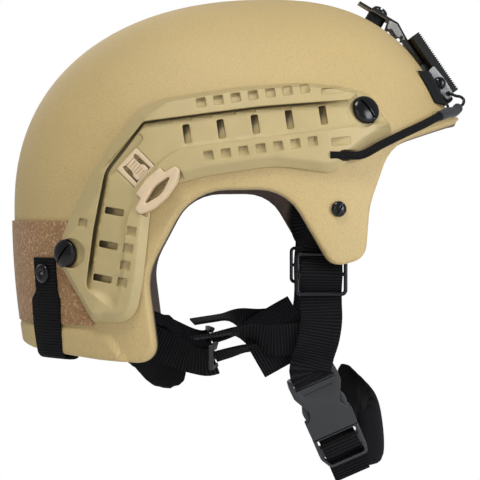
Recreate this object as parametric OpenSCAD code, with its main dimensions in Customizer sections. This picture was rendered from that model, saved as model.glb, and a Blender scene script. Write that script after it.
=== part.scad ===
// Combat helmet with accessory rails, a night-vision bracket and a chin strap harness
// Front is -Y, the wearer's left is +X, up is +Z, and the origin is where the head meets the crown pad

/* [Shell] */
// Half of the shell's width at the ears
shell_half_w = 118; // [110:0.5:126]
// Length from the widest section to the back of the shell
shell_rear_r = 167.5; // [158:0.5:176]
// Length from the widest section to the brow of the shell
shell_front_r = 120; // [116:0.5:126]
// Height of the dome above the belt line
shell_rise = 136.5; // [128:0.5:146]
// Thickness of the laminate wall
wall_t = 8; // [6:0.5:10]
// How far the skirt draws in below the belt line, as a share of the radius
skirt_draw = 0.045; // [0:0.005:0.08]
// How far the brow peak reaches out for each millimetre that it drops
brow_slope = 0.8; // [0:0.05:1.2]

/* [Rails] */
// Height of the rail bars above the shell
rail_h = 8; // [7:0.25:10]
// Height of the rail's channel floor above the shell
rail_floor_h = 5; // [4:0.25:6]
// Width of the slots through the channel floor
slot_w = 4.2; // [3:0.1:5]
// Length of the slots through the channel floor
slot_l = 11.5; // [8:0.5:13]
// Distance from slot to slot
slot_pitch = 20.5; // [18:0.1:21.5]
// Side of the square recesses in the bars
recess_w = 5.8; // [4:0.1:6.4]
// Depth of the square recesses
recess_deep = 2; // [1:0.1:3]
// Distance from recess to recess
recess_pitch = 10.4; // [9:0.1:10.8]
// Head diameter of the rail screws
rail_screw_d = 16.6; // [14:0.1:18]
// Shank diameter of the rail screws
rail_shank_d = 6; // [5:0.1:7]

/* [Clips] */
// Width of the clip's tongue end
clip_w = 17.6; // [15:0.1:18.4]
// Thickness of the clip plate
clip_t = 2.2; // [1.8:0.1:2.4]
// Travel of the clip along its pocket
clip_travel = 12; // [4:0.5:14]

/* [Harness] */
// Width of the harness webbing
web_w = 25; // [20:0.5:26]
// Thickness of the webbing
web_t = 1.6; // [1.2:0.1:2]
// Width of the rear retention straps
snap_web_w = 22; // [18:0.5:24]
// Diameter of the snap caps
snap_d = 12; // [10:0.5:14]
// Wire diameter of the strap glides
glide_wire_d = 2.4; // [2:0.1:3]
// Thickness of the comfort pads
pad_t = 19; // [14:0.5:20]

/* [Buckle] */
// Width of the side-release buckle
buckle_w = 30; // [28:0.5:33]
// Thickness of the side-release buckle
buckle_t = 9; // [8:0.25:11]
// Travel of the plug out of its socket
plug_travel = 24; // [16:0.5:26]

/* [Bracket] */
// Width of the bracket plate
plate_w = 54; // [44:1:60]
// Length of the bracket plate
plate_l = 45; // [40:0.5:48]
// Thickness of the bracket plate
plate_t = 6; // [5:0.25:7]
// Diameter of the stretch cord
cord_d = 5; // [4:0.1:6]

/* [Hidden] */

gap = 0.3;
eps = 0.01;
belt_z = -108;
mid_y = -23.5;
bulge_v = 2.27;
bulge_h = 2.2;
bulge_brow = 0.13;
crown_z = belt_z + shell_rise;
skirt_z = -206;

// Shape of the dome: horizontal and upright sections are superellipses
function spow(v, p) = sign(v) * pow(abs(v), p);
function bulge(a) = bulge_v + bulge_brow * pow(max(0, -sin(a)), 4);
function ring(z, d, a = 0) = z < belt_z ? 1 - skirt_draw * pow((belt_z - z) / 90,
    2) : pow(max(0, 1 - pow((z - belt_z) / (shell_rise + d), bulge(a))), 1 / bulge(a));
function brow_turn(a) = abs(a + 90);
function brow_share(a) = pow(max(0, cos(min(90, brow_turn(a) * 1.45))), 1.2);
function brow_z(a) = -38.5 - 14.3 * pow(brow_turn(a) / 52, 2.5);
function brow_out(a, z) = brow_turn(a) > 62 ? 0 : brow_slope * brow_share(a) * max(0, brow_z(a) - z);
function reach_y(a) = a > 0 ? shell_rear_r : shell_front_r;
function dome_pt(a, z, d) = [
    (shell_half_w + d) * ring(z, d, a) * spow(cos(a), 2 / bulge_h),
    mid_y + (reach_y(a) + d) * ring(z, d, a) * spow(sin(a), 2 / bulge_h) - brow_out(a, z),
    z];

// Half-width of the dome at a place on its side, and the outward direction there
function side_x(y, z, d) = let(r = ring(z, d), b = (y > mid_y ? shell_rear_r : shell_front_r) + d,
    q = min(1, abs(y - mid_y) / (b * r))) (shell_half_w + d) * r * pow(1 - pow(q, bulge_h),
    1 / bulge_h);
function side_pt(y, z, d) = [side_x(y, z, d), y, z];
function unit(v) = v / norm(v);
function side_dir(y,
    z) = unit(cross(side_pt(y + 1, z, 0) - side_pt(y - 1, z, 0),
        side_pt(y, z + 1, 0) - side_pt(y, z - 1, 0)));
function side_angle(y,
    z) = let(s = pow(abs(y - mid_y) / (((y > mid_y ? shell_rear_r : shell_front_r)) * ring(z, 0)),
        bulge_h / 2)) (y > mid_y ? 1 : -1) * asin(min(1, s));

// Points of an outline with each corner rounded to the radius in its third number
function corner(a, b, c) = let(u = unit([a.x - b.x, a.y - b.y]), v = unit([c.x - b.x, c.y - b.y]),
    h = acos(max(-1, min(1, u * v))) / 2, t = b.z / tan(h), m = unit(u + v),
    o = [b.x, b.y] + m * b.z / sin(h), p = [b.x, b.y] + u * t - o,
    w = cross([p.x, p.y, 0], concat([b.x, b.y] + v * t - o, 0)).z > 0 ? 1 : -1,
    n = max(1,
        ceil((180 - 2 * h) / 12))) [for (i = [0:n]) let(k = w * (180 - 2 * h) * i / n) o + [p.x
            * cos(k) - p.y * sin(k),
        p.x * sin(k) + p.y * cos(k)]];
function rounded(p) = [for (i = [0:len(p) - 1]) each (p[i].z == 0 ? [[p[i].x,
    p[i].y]] : corner(p[(i + len(p) - 1) % len(p)],
    p[i], p[(i + 1) % len(p)]))];

// A plate with a side-view outline, standing across the helmet from x0 to x1
module across(outline, x0,
    x1) translate([x0, 0, 0]) rotate([90, 0, 90]) linear_extrude(x1 - x0) polygon(rounded(outline));

// A closed strip that follows the dome: lists of [offset, height] on its outer and inner side, between two bearings
module wrap(outer, inner, a0, a1, n) {
    m = len(outer);
    section = concat(outer, [for (i = [m - 1:-1:0]) inner[i]]);
    s = 2 * m;
    pts = [for (k = [0:n]) for (q = section) dome_pt(a0 + (a1 - a0) * k / n, q[1], q[0])];
    sides = [for (k = [0:n - 1]) for (i = [0:s - 1]) let(c = k * s + i,
        d = k * s + (i + 1) % s) each [[c, d + s, c + s], [c, d, d + s]]];
    ends = [for (i = [0:m - 2]) let(j = s - 1 - i, e = n * s) each [[i, j - 1, i + 1],
        [i, j, j - 1], [e + i, e + i + 1, e + j - 1], [e + i, e + j - 1, e + j]]];
    polyhedron(pts, concat(sides, ends));
}
function levels(z0, z1, n, d) = [for (i = [0:n]) [d, z0 + (z1 - z0) * i / n]];
module band(d0, d1, a0, a1, na, z0, z1, nz) wrap(levels(z0, z1, nz, d1), levels(z0, z1, nz, d0), a0,
    a1, na);

// A hand-placed point, moved along when the shell's own sizes change from the measured helmet's
measured_reach = [118, 167.5, 120];
function drawn_share(y) = y > mid_y ? shell_rear_r / measured_reach[1] : shell_front_r / measured_reach[2];
function on_shell(p) = [
    p.x * shell_half_w / measured_reach[0],
    mid_y + (p.y - mid_y) * drawn_share(p.y),
    p.z];
function rows_on_shell(rows) = [for (r = rows) [on_shell(r[0]), r[1]]];
function pts_on_shell(p) = [for (q = p) on_shell(q)];

// Side-view outlines, as [y, z, corner radius]
trim_line = [[-175, -39.5, 0], [-92.6, -69, 30], [-78.8, -106, 40], [-76.3, -138, 11],
    [-56, -143, 10], [-27, -96, 30], [30, -96.5, 36], [57.8, -147, 34], [50.5, -202, 11],
    [85, -200, 30], [128, -195.5, 30], [170, -186, 0], [170, 60, 0], [-175, 60, 0]];
rail_line = [[-78.5, -38.5, 3], [-60, -34, 30], [-38, -32.3, 40], [0, -35, 60], [45, -41.5, 40],
    [61, -48, 14], [88, -84.5, 40], [104, -115, 40], [112.5, -137, 6], [89, -176.5, 3], [63, -177, 14],
    [58, -152, 30], [52.8, -103, 12], [38, -93, 16], [20, -88.5, 30], [-21, -82.3, 60], [-56, -87, 16],
    [-75, -71, 30], [-92.5, -60.3, 2], [-88, -53, 4]];

rows = concat([for (i = [0:10]) skirt_z + (-76 - skirt_z) * i / 10], [for (i = [1:7]) -76 + 6 * i],
    [for (i = [1:7]) belt_z + shell_rise * sin(30.5 + 59.5 * i / 8)]);
columns = 60;
module hollow_dome() {
    m = len(rows);
    outer = [for (z = rows) for (k = [0:columns - 1]) dome_pt(360 * k / columns - 180, z, 0)];
    inner = [for (z = rows) for (k = [0:columns - 1]) dome_pt(360 * k / columns - 180,
        z > belt_z ? belt_z + (z - belt_z) * (shell_rise - wall_t) / shell_rise : z, -wall_t)];
    o = m * columns;
    top = 2 * o;
    walls = [for (r = [0:m - 2]) for (k = [0:columns - 1]) let(a = r * columns + k,
        b = r * columns + (k + 1) % columns) each [[a, b + columns, b], [a, a + columns, b + columns],
        [o + a, o + b, o + b + columns], [o + a, o + b + columns, o + a + columns]]];
    caps = [for (k = [0:columns - 1]) let(a = (m - 1) * columns + k,
        b = (m - 1) * columns + (k + 1) % columns) each [[a, top, b], [o + a, o + b, top + 1]]];
    rim = [for (k = [0:columns - 1]) let(b = (k + 1) % columns) each [[k, b, o + b], [k, o + b, o + k]]];
    polyhedron(concat(outer, inner, [[0, mid_y, crown_z], [0, mid_y, crown_z - wall_t]]),
        concat(walls, caps, rim));
}
// Frames: z along the outward direction at a place on the left side, and a general one from an origin and two directions
module frame_at(o, x, z) {
    y = cross(z, x);
    multmatrix([[x.x, y.x, z.x, o.x], [x.y, y.y, z.y, o.y], [x.z, y.z, z.z, o.z], [0, 0, 0, 1]]) children();
}
module at_side(p, d) {
    n = side_dir(p.x, p.y);
    frame_at(side_pt(p.x, p.y, 0) + n * d, unit(cross([1, 0, 0], n)), n) children();
}
module both() {
    children();
    mirror([1, 0, 0]) children();
}

// Ribbons of webbing: rows of [centre, width direction], with the width and thickness given
module ribbon(rows, w, t) {
    n = len(rows);
    function run(i) = unit(rows[min(n - 1, i + 1)][0] - rows[max(0, i - 1)][0]);
    function side(i) = let(r = run(i), s = rows[i][1]) unit(s - r * (r * s));
    pts = [for (i = [0:n - 1]) let(c = rows[i][0], s = side(i) * w / 2,
        k = cross(run(i), side(i)) * t / 2) each [c - s - k, c + s - k, c + s + k, c - s + k]];
    skin = [for (i = [0:n - 2]) for (j = [0:3]) let(a = 4 * i + j,
        b = 4 * i + (j + 1) % 4) each [[a, b + 4, b], [a, a + 4, b + 4]]];
    e = 4 * (n - 1);
    polyhedron(pts, concat(skin, [[0, 1, 2], [0, 2, 3], [e, e + 2, e + 1], [e, e + 3, e + 2]]));
}
// A round cord through a list of points
module tube(p, d, sides) {
    n = len(p);
    function run(i) = unit(p[min(n - 1, i + 1)] - p[max(0, i - 1)]);
    function over(i) = unit([0, 0, 1] - run(i) * run(i).z);
    pts = [for (i = [0:n - 1]) for (k = [0:sides - 1]) let(u = over(i),
        v = cross(run(i),
            over(i))) p[i] + (u * cos(360 * k / sides) + v * sin(360 * k / sides)) * d / 2];
    skin = [for (i = [0:n - 2]) for (k = [0:sides - 1]) let(a = i * sides + k,
        b = i * sides + (k + 1) % sides) each [[a, b + sides, b], [a, a + sides, b + sides]]];
    e = (n - 1) * sides;
    caps = [for (k = [1:sides - 2]) each [[0, k, k + 1], [e, e + k + 1, e + k]]];
    polyhedron(pts, concat(skin, caps));
}
// Smooth route through hand-chosen points
function bend(p, i, t) = let(a = p[max(0, i - 1)], b = p[i], c = p[i + 1],
    d = p[min(len(p) - 1,
        i + 2)]) 0.5 * (2 * b + (c - a) * t + (2 * a - 5 * b + 4 * c - d) * t * t + (3 * b - a - 3
            * c + d) * t * t * t);
function route(p, m) = concat([for (i = [0:len(p) - 2]) for (k = [0:m - 1]) bend(p, i, k / m)],
    [p[len(p) - 1]]);
// Sheet metal bent along a line in the side view
function mitre(p, i) = let(n = len(p), a = i > 0 ? unit(p[i] - p[i - 1]) : unit(p[1] - p[0]),
    b = i < n - 1 ? unit(p[i + 1] - p[i]) : a, m = unit(a + b)) [-m.y, m.x] / (m * a);
function folded(p, t) = concat([for (i = [0:len(p) - 1]) p[i] + mitre(p, i) * t / 2],
    [for (i = [len(p) - 1:-1:0]) p[i] - mitre(p, i) * t / 2]);

rail_front_at = [-75.3, -49.5];
rail_rear_at = [103.5, -135.5];
cheek_at = [-58.6, -108.2];
snap_at = [117.4, -147.5];
run_tilt = 7.9;
slot_top_at = [-8.9, -57.9];
slot_rear_at = [78.9, -129.9];
row_top_at = [-7.6, -40.6];
row_low_at = [-11.9, -72.4];
row_rear_at = [67.8, -136.9];
channel_line = [[-66, -42.8, 2], [-11.7, -47.2, 60], [58, -55.8, 4], [81, -85, 20], [88, -120, 60],
    [94, -155, 3], [79, -161, 3], [71, -124, 40], [68, -111, 20], [48, -80, 20], [36, -72, 20],
    [20, -70, 40], [-48, -61.4, 40], [-97, -55, 0], [-97, -34, 0], [-76, -34, 0]];

clip_at = [67.8, -77.8];
clip_run = unit([0, -0.735, -0.678]);
clip_slot = [15.4, 19];
clip_ring_l = 35.4;
clip_lift = 3;
ring_line = [[19.8, -10.6, 1], [18.4, 0, 16], [19.8, 10.6, 1], [24, 10.6, 1], [26, 17.5, 1.5],
    [30, 18.2, 2], [33.8, 11, 8], [clip_ring_l, 0, 16], [33.8, -11, 8], [30, -18.2, 2],
    [26, -17.5, 1.5], [24, -10.6, 1]];
ring_hole = [[28.9, -12, 0.8], [26.2, 0, 14], [28.9, 12, 0.8], [31, 0, 14]];
tongue_line = [[3.2, -3.2, 0], [3.2, 3.2, 0], [9, 3.2, 2], [10.5, 4.8, 1], [14.8, 4.8, 0.5],
    [14.8, -4.8, 0.5], [10.5, -4.8, 1], [9, -3.2, 2]];
module at_clip() {
    n = side_dir(54, -91);
    frame_at(side_pt(clip_at.x, clip_at.y, rail_floor_h) + [0.4, 0, 0],
        unit(clip_run - n * (clip_run * n)), n) children();
}
module plate(outline, z0, z1) translate([0, 0, z0]) linear_extrude(z1 - z0) polygon(rounded(outline));
module clip_pocket() {
    g = gap;
    w = clip_w / 2 + g;
    plate([[-3.5, -15.5, 1], [-3.5, 15.5, 1], [0.6, 15.5, 1], [0.6, w, 0], [40, w, 0], [40, -w, 0],
        [0.6, -w, 0], [0.6, -15.5, 1]],
        -clip_t - g, g);
    translate([0, 0, -clip_t - g]) linear_extrude(20) offset(r = g, $fn = 16) {
        polygon(rounded(ring_line));
        hull() for (t = [0, clip_travel + 1]) translate([t,
            0]) polygon(rounded([for (p = ring_line) if (p.x > 20) p]));
    }
    translate([-10, -w, 0]) cube([clip_slot[0] + 10, 2 * w, 12]);
    plate([[6.4, -5.3, 1], [6.4, 5.3, 1], [16 + clip_travel, 5.3, 1], [16 + clip_travel, -5.3, 1]],
        -clip_t - 1.7, 0);
}
module clip() color("wheat") at_clip() difference() {
    union() {
        plate([[0, -clip_w / 2, 0.8], [0, clip_w / 2, 0.8], [20.5, clip_w / 2, 0],
            [20.5, -clip_w / 2, 0]],
            -clip_t, 0);
        plate(ring_line, -clip_t, clip_lift);
    }
    plate(ring_hole, -clip_t - 1, clip_lift + 1);
    translate([0, 0, -clip_t - 1]) linear_extrude(clip_t + 2)
        offset(r = gap, $fn = 16) polygon(rounded(tongue_line));
    for (s = [-1, 1]) plate([[2.6, s * 3.4, 0], [1.6, s * 5.4, 0], [4.2, s * 6.2, 0],
        [15, s * 6.2, 0], [15, s * 3.4, 0]],
        -clip_t - 1, 1);
}
module clip_tongue() color("wheat") at_clip() difference() {
    plate(tongue_line, -clip_t, 0);
    for (i = [0:4]) translate([5 + 2 * i, -2.6, -0.5]) cube([0.6, 5.2, 2]);
}
module slot_cut() translate([-slot_w / 2, -slot_l / 2, -14]) cube([slot_w, slot_l, 28]);
module recess_cut(p, turn) frame_at(side_pt(p.x, p.y, rail_h - recess_deep),
    [0, cos(turn), sin(turn)],
    [1, 0, 0]) translate([-recess_w / 2, -recess_w / 2, 0]) cube([recess_w, recess_w, 10]);
// Long recess at a bar's front end, as [y, z, turn, length, width], running out to the front
end_recesses = [[-55.4, -37.5, 176, 12.6, 3.6], [-59.6, -67.6, 172, 11, 4.4]];
module tapered_recess(q) frame_at(
    side_pt(q[0], q[1], rail_h - recess_deep),
    [0, cos(q[2]), sin(q[2])],
    [1, 0, 0])
    hull() {
        translate([-q[3] / 2, -q[4] / 2, 0]) cube([q[3] * 0.6, q[4], 10]);
        translate([q[3] / 2 - 1, -q[4] / 2, recess_deep - 0.4]) cube([1, q[4], 8]);
    }
module through(p, turn) frame_at(side_pt(p.x, p.y, 4), [0, cos(turn), sin(turn)], [1, 0, 0]) slot_cut();
function along(p, turn, s) = [p.x + s * cos(turn), p.y + s * sin(turn)];
module rail() color("burlywood") difference() {
    intersection() {
        band(gap, rail_h, -38, 54, 22, -182, -27, 16);
        union() {
            across(rail_line, 60, 140);
            for (p = [rail_front_at, rail_rear_at]) translate([60, p.x, p.y]) rotate([0, 90,
                0]) cylinder(d = rail_screw_d + 3,
                h = 80, $fn = 48);
        }
    }
    intersection() {
        band(rail_floor_h, rail_h + 4, -40.5, 57, 23, -185, -22, 17);
        across(channel_line, 60, 140);
    }
    for (i = [-2:2]) through(along(slot_top_at, 180 - run_tilt, i * slot_pitch), 180 - run_tilt);
    for (i = [-1:1]) through(along(slot_rear_at, run_tilt + 92.5, i * slot_pitch), run_tilt + 92.5);
    for (q = end_recesses) tapered_recess(q);
    for (i = [-3:3]) recess_cut(along(row_top_at, 180 - run_tilt, i * recess_pitch), 180 - run_tilt);
    for (i = [-3:3]) recess_cut(along(row_low_at, 180 - run_tilt, i * recess_pitch), 180 - run_tilt);
    for (i = [-1.5:1.5]) recess_cut(along(row_rear_at, run_tilt + 92.5, i * recess_pitch), run_tilt + 92.5);
    recess_cut([94.4, -116.6], run_tilt + 92.5);
    for (p = [rail_front_at, rail_rear_at]) at_side(p, 0) {
        translate([0, 0, -5]) cylinder(d = rail_shank_d + 0.6, h = 30, $fn = 32);
        translate([0, 0, rail_floor_h - 0.8]) cylinder(d = rail_screw_d + 1.4, h = 12, $fn = 48);
    }
    at_clip() clip_pocket();
    frame_at(cord_pts[0], [0, 0, 1], unit(cord_pts[2] - cord_pts[0]))
        translate([0, 0, -2]) cylinder(d = cord_d + 1.6, h = 40, $fn = 24);
}
module rail_left() rail();
module rail_right() mirror([1, 0, 0]) rail();

// Shell with its bores
module bore_at(p, d) at_side(p, -wall_t - 6) cylinder(d = d, h = wall_t + 12, $fn = 32);
crown_screw_z = 13.4;
crown_screw = dome_pt(-90, crown_screw_z, 0);
crown_screw_run = unit(dome_pt(-90, crown_screw_z + 1, 0) - dome_pt(-90, crown_screw_z - 1, 0));
crown_screw_dir = cross([1, 0, 0], crown_screw_run);
module at_crown_screw() frame_at(crown_screw, [1, 0, 0], crown_screw_dir) children();
module shell() color("tan") difference() {
    intersection() {
        hollow_dome();
        across(trim_line, -140, 140);
    }
    both() {
        for (p = [rail_front_at, rail_rear_at]) bore_at(p, rail_shank_d + 0.6);
        bore_at(cheek_at, 5.6);
    }
    at_crown_screw() translate([0, 0, -20]) cylinder(d = 5.6, h = 40, $fn = 32);
}
module loop_panel() color("peru") intersection() {
    band(gap, 1.6, 12, 168, 26, -179, -115.5, 5);
    difference() {
        across([[160, -115.5, 0], [114, -115.5, 0], [115.5, -141, 4], [92, -179, 0], [160, -179, 0]],
            -140, 140);
        both() at_side(snap_at, -4) cylinder(d = 11, h = 12, $fn = 32);
    }
}

// Screws and nuts
module slotted_head(d, h, slot) difference() {
    rotate_extrude($fn = 48) polygon([[0, 0], [d / 2, 0], [d / 2, h * 0.25],
        for (i = [1:6]) [d / 2 * cos(15 * i), h * (0.25 + 0.75 * sin(15 * i))]]);
    translate([-d, -slot / 2, h * 0.55]) cube([2 * d, slot, h]);
}
module rail_screw(p) at_side(p, 0) {
    translate([0, 0, rail_floor_h - 0.5]) slotted_head(rail_screw_d, 4.4, 1.8);
    translate([0, 0, -wall_t - 2.2]) cylinder(d = rail_shank_d,
        h = wall_t + 2.2 + rail_floor_h - 0.45, $fn = 32);
}
module rail_screws_front() color("black") both() rail_screw(rail_front_at);
module rail_screws_rear() color("black") both() rail_screw(rail_rear_at);
module disc_nut(p, d, bore) at_side(p, -wall_t - 2.8) difference() {
    cylinder(d = d, h = 1.8, $fn = 40);
    translate([0, 0, -1]) cylinder(d = bore, h = 4, $fn = 32);
}
module rail_nuts() color("silver") both()
    for (p = [rail_front_at, rail_rear_at]) disc_nut(p, 15, rail_shank_d + 0.3);
cheek_head_d = 9.4;
module cheek_screws() color("black") both() at_side(cheek_at, 0) {
    translate([0, 0, gap]) slotted_head(cheek_head_d, 3, 1.2);
    translate([0, 0, -wall_t - 5.9]) cylinder(d = 5, h = wall_t + 5.9 + gap + 0.05, $fn = 32);
}
module cheek_nuts() color("silver") both() at_side(cheek_at, -wall_t - 5.7) difference() {
    cylinder(d = 13, h = 1.6, $fn = 40);
    translate([0, 0, -1]) cylinder(d = 5.3, h = 4, $fn = 32);
}
module clip_left() clip();
module clip_right() mirror([1, 0, 0]) clip();
module clip_tongue_left() clip_tongue();
module clip_tongue_right() mirror([1, 0, 0]) clip_tongue();

// Comfort pads on their hook discs
pad_out = wall_t + 2.4;
module cushion(a0, a1, na, z0, z1) color("dimgray") wrap(
    [[-pad_out - 4, z0], [-pad_out, z0 + 4], [-pad_out, (z0 + z1) / 2], [-pad_out, z1 - 4],
        [-pad_out - 4, z1]],
    [[-pad_out - 12, z0 + 1], [-pad_out - pad_t + 3, z0 + 6], [-pad_out - pad_t, (z0 + z1) / 2],
        [-pad_out - pad_t + 3, z1 - 6], [-pad_out - 12, z1 - 1]],
        a0, a1, na);
module front_pad() cushion(-122, -58, 8, -39, -1);
module rear_pad() cushion(58, 122, 8, -150, -104);
module side_pads() both() {
    cushion(-19, 4, 4, -86, -38);
    cushion(12, 46, 6, -86, -34);
}
crown_pad_d = 104;
crown_at_y = 0;
function dome_z(x, y, d) = let(b = (y > mid_y ? shell_rear_r : shell_front_r) + d,
    q = pow(pow(abs(x) / (shell_half_w + d), bulge_h) + pow(abs(y - mid_y) / b, bulge_h),
        bulge_v / bulge_h)) belt_z + (shell_rise + d) * pow(max(0, 1 - q),
    1 / bulge_v);
module crown_disc(d, d_top, t, n, rings) {
    function spot(r, k) = [r * cos(360 * k / n), crown_at_y + r * sin(360 * k / n)];
    radii = [for (i = [1:rings]) d / 2 * i / rings];
    top = [for (r = radii) for (k = [0:n - 1]) let(s = spot(r, k)) [s.x, s.y,
        dome_z(s.x, s.y, -wall_t) - d_top]];
    low = [for (r = radii) for (k = [0:n - 1]) let(s = spot(r, k)) [s.x * 0.98, s.y * 0.98,
        dome_z(s.x, s.y, -wall_t) - d_top - t]];
    o = rings * n;
    c = 2 * o;
    mid = [[0, crown_at_y, dome_z(0, crown_at_y, -wall_t) - d_top],
        [0, crown_at_y, dome_z(0, crown_at_y, -wall_t) - d_top - t]];
    faces = [for (k = [0:n - 1]) let(j = (k + 1) % n) each concat([[k, c, j], [o + k, o + j, c + 1],
        [o - n + k, o - n + j, 2 * o - n + j], [o - n + k, 2 * o - n + j, 2 * o - n + k]],
        [for (r = [0:rings - 2]) let(a = r * n + k, b = r * n + j) each [[a, b, b + n],
            [a, b + n, a + n], [o + a, o + b + n, o + b], [o + a, o + a + n, o + b + n]]])];
    polyhedron(concat(top, low, mid), faces);
}
module crown_pad() color("dimgray") crown_disc(crown_pad_d, 2, pad_t - 0.9, 28, 4);
module hook_spot(a0, a1, z0, z1) band(-wall_t - 1.8, -wall_t - 0.8, a0, a1, 3, z0, z1, 3);
module hook_discs() color("black") {
    crown_disc(60, 0.6, 1, 24, 2);
    hook_spot(-104, -76, -33, -9);
    hook_spot(76, 104, -142, -112);
    both() {
        hook_spot(-14, -1, -74, -50);
        hook_spot(20, 38, -74, -46);
    }
}

// Rear retention straps: over the loop panel, round the rim and up inside the skirt
flap_rows = [[2, -140.5], [2, -148], [2, -158], [2, -169], [2, -180], [1.4, -189], [1, -195.6]];
strap_a0 = 51.85;
strap_a1 = 61;
module retention_strap_left() color("black") wrap(
    [[web_t + 0.9, -197], [web_t + 0.8, -198.6], [-1, -201.4], [-wall_t + 1, -201.4],
        [-wall_t - 1.2 - web_t, -198.5], [-wall_t - 1.2 - web_t, -188]],
    [[0.9, -197], [0.8, -197.9], [-0.6, -199.6], [-wall_t + 0.6, -199.6], [-wall_t - 1.2, -197.6],
        [-wall_t - 1.2, -188]],
        strap_a0, strap_a1, 3);
module retention_strap_right() mirror([1, 0, 0]) retention_strap_left();
module retention_flap_left() color("black") difference() {
    wrap(
        [for (q = flap_rows) [web_t + q[0], q[1]]],
        flap_rows, strap_a0, strap_a1, 3);
    at_side(snap_at, -1) cylinder(d = 4.6, h = 9, $fn = 24);
}
module retention_flap_right() mirror([1, 0, 0]) retention_flap_left();
module snap_cap_left() color("black") at_side(snap_at, 2 + web_t + 0.3)
    rotate_extrude($fn = 40) polygon([[1.6, 0], [snap_d / 2, 0], [snap_d / 2, 1],
        [snap_d / 2 - 1.2, 2.2], [snap_d / 2 - 2.6, 2.5], [snap_d / 2 - 3.2, 1.7], [1.6, 1.7]]);
module snap_cap_right() mirror([1, 0, 0]) snap_cap_left();
module snap_studs() color("dimgray") both() at_side(snap_at, 0.3) {
    cylinder(d = 10, h = 1.2, $fn = 32);
    cylinder(d = 2.2, h = web_t + 3.4, $fn = 24);
}

// Chin harness, made for the left side and mirrored
function wall_row(y, z, d, turn) = let(n = side_dir(y, z),
    h = unit(cross([0, 0, 1], n))) [side_pt(y, z, 0) - n * (wall_t + d),
    h * cos(turn) + cross(n, h) * sin(turn)];
glide_at = [102, -49.5, -147.5];
join_at = [97, -50, -186];
buckle_at = on_shell([87, -43.5, -208]);
function side_row(x, y, z, turn = 0) = [on_shell([x, y, z]), [0, cos(turn), sin(turn)]];
module cheek_strap(low) color("black") difference() {
    ribbon(concat([
        wall_row(-60.5, -99, 2.2, 12), wall_row(-58.4, -108, 2.2, 12), wall_row(-55, -120, 3.4, 10),
        side_row(glide_at.x - 1, -51.6, -128, 6), side_row(glide_at.x - 2.5, -50.4, -133, 3),
            side_row(glide_at.x - 2.6, -50, -136.5), side_row(glide_at.x, -49.6, -142),
            side_row(glide_at.x + 2.5, glide_at.y, glide_at.z),
        side_row(glide_at.x, -49.4, -153), side_row(glide_at.x - 2.6, -49.4, -158.5),
            side_row(glide_at.x - 2.5, -49.5, -166), side_row(join_at.x + 1, -49.8, -176)],
            low),
            web_w, web_t);
    at_side(cheek_at, -wall_t - 7) cylinder(d = 5.8, h = 9, $fn = 24);
}
module cheek_strap_left() cheek_strap([side_row(join_at.x - 0.5, -48, -188, -8),
    side_row(92.6, -45, -199, -14), side_row(88.7, -45.6, -207, -4)]);
module cheek_strap_right() mirror([1, 0, 0]) cheek_strap([side_row(join_at.x - 0.5, -48, -188, -8),
    side_row(92.6, -45, -199, -14),
    for (q = [[6.6, 3], [6.3, -2.6], [4.6, -4.7], [0, -5]]) [buckle_pt(q.x, 0, q.y), [0, 0.9, -0.4]]]);
glide_w = 29;
glide_h = 24;
module strap_glides() color("gray") both() translate(on_shell(glide_at)) {
    for (s = [-1, 1]) {
        translate([0, s * glide_w / 2, -glide_h / 2]) cylinder(d = glide_wire_d, h = glide_h, $fn = 24);
        translate([0, -glide_w / 2, s * glide_h / 2]) rotate([-90, 0, 0]) cylinder(d = glide_wire_d,
            h = glide_w, $fn = 24);
        for (t = [-1, 1]) translate([0, t * glide_w / 2, s * glide_h / 2]) sphere(d = glide_wire_d,
            $fn = 24);
    }
    translate([0, -glide_w / 2, 0]) rotate([-90, 0, 0]) cylinder(d = glide_wire_d, h = glide_w, $fn = 24);
}
module rear_strap_left() color("black") {
    ribbon([[[86, 21, -184.2], [0.95, 0, 0.3]], [[86, 12, -183], [0.95, 0, 0.3]],
        [[86.5, 1, -182.6], [0.95, 0, 0.3]], [[90, -12, -183], [0.6, 0, 0.8]],
        [[92.4, -24, -185.5], [0.3, 0.2, 0.93]], [[93, -36, -188.4], [0.25, -0.1, 0.96]],
        [[92.7, -46, -190.6], [0.25, -0.2, 0.95]]],
        web_w * 0.8, web_t);
    ribbon([[[82, 12.6, -199.3], [0.9, 0, -0.3]], [[84, 4, -196], [0.8, 0, -0.6]],
        [[88, -6, -196.6], [0.3, 0, -1]], [[90, -17, -198.6], [0.1, 0, -1]],
        [[90.6, -26, -200.4], [0.1, 0, -1]]],
        web_w * 0.4, web_t);
}
module rear_strap_right() mirror([1, 0, 0]) rear_strap_left();
module strap_ends() color("black") both() ribbon([[[90, -39, -187], [0.16, 0.86, 0.46]],
    [[83.6, -27, -198], [0, 0.88, 0.47]], [[82.2, -15.5, -207], [0, 0.9, 0.44]]],
    web_w - 1, web_t);

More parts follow.
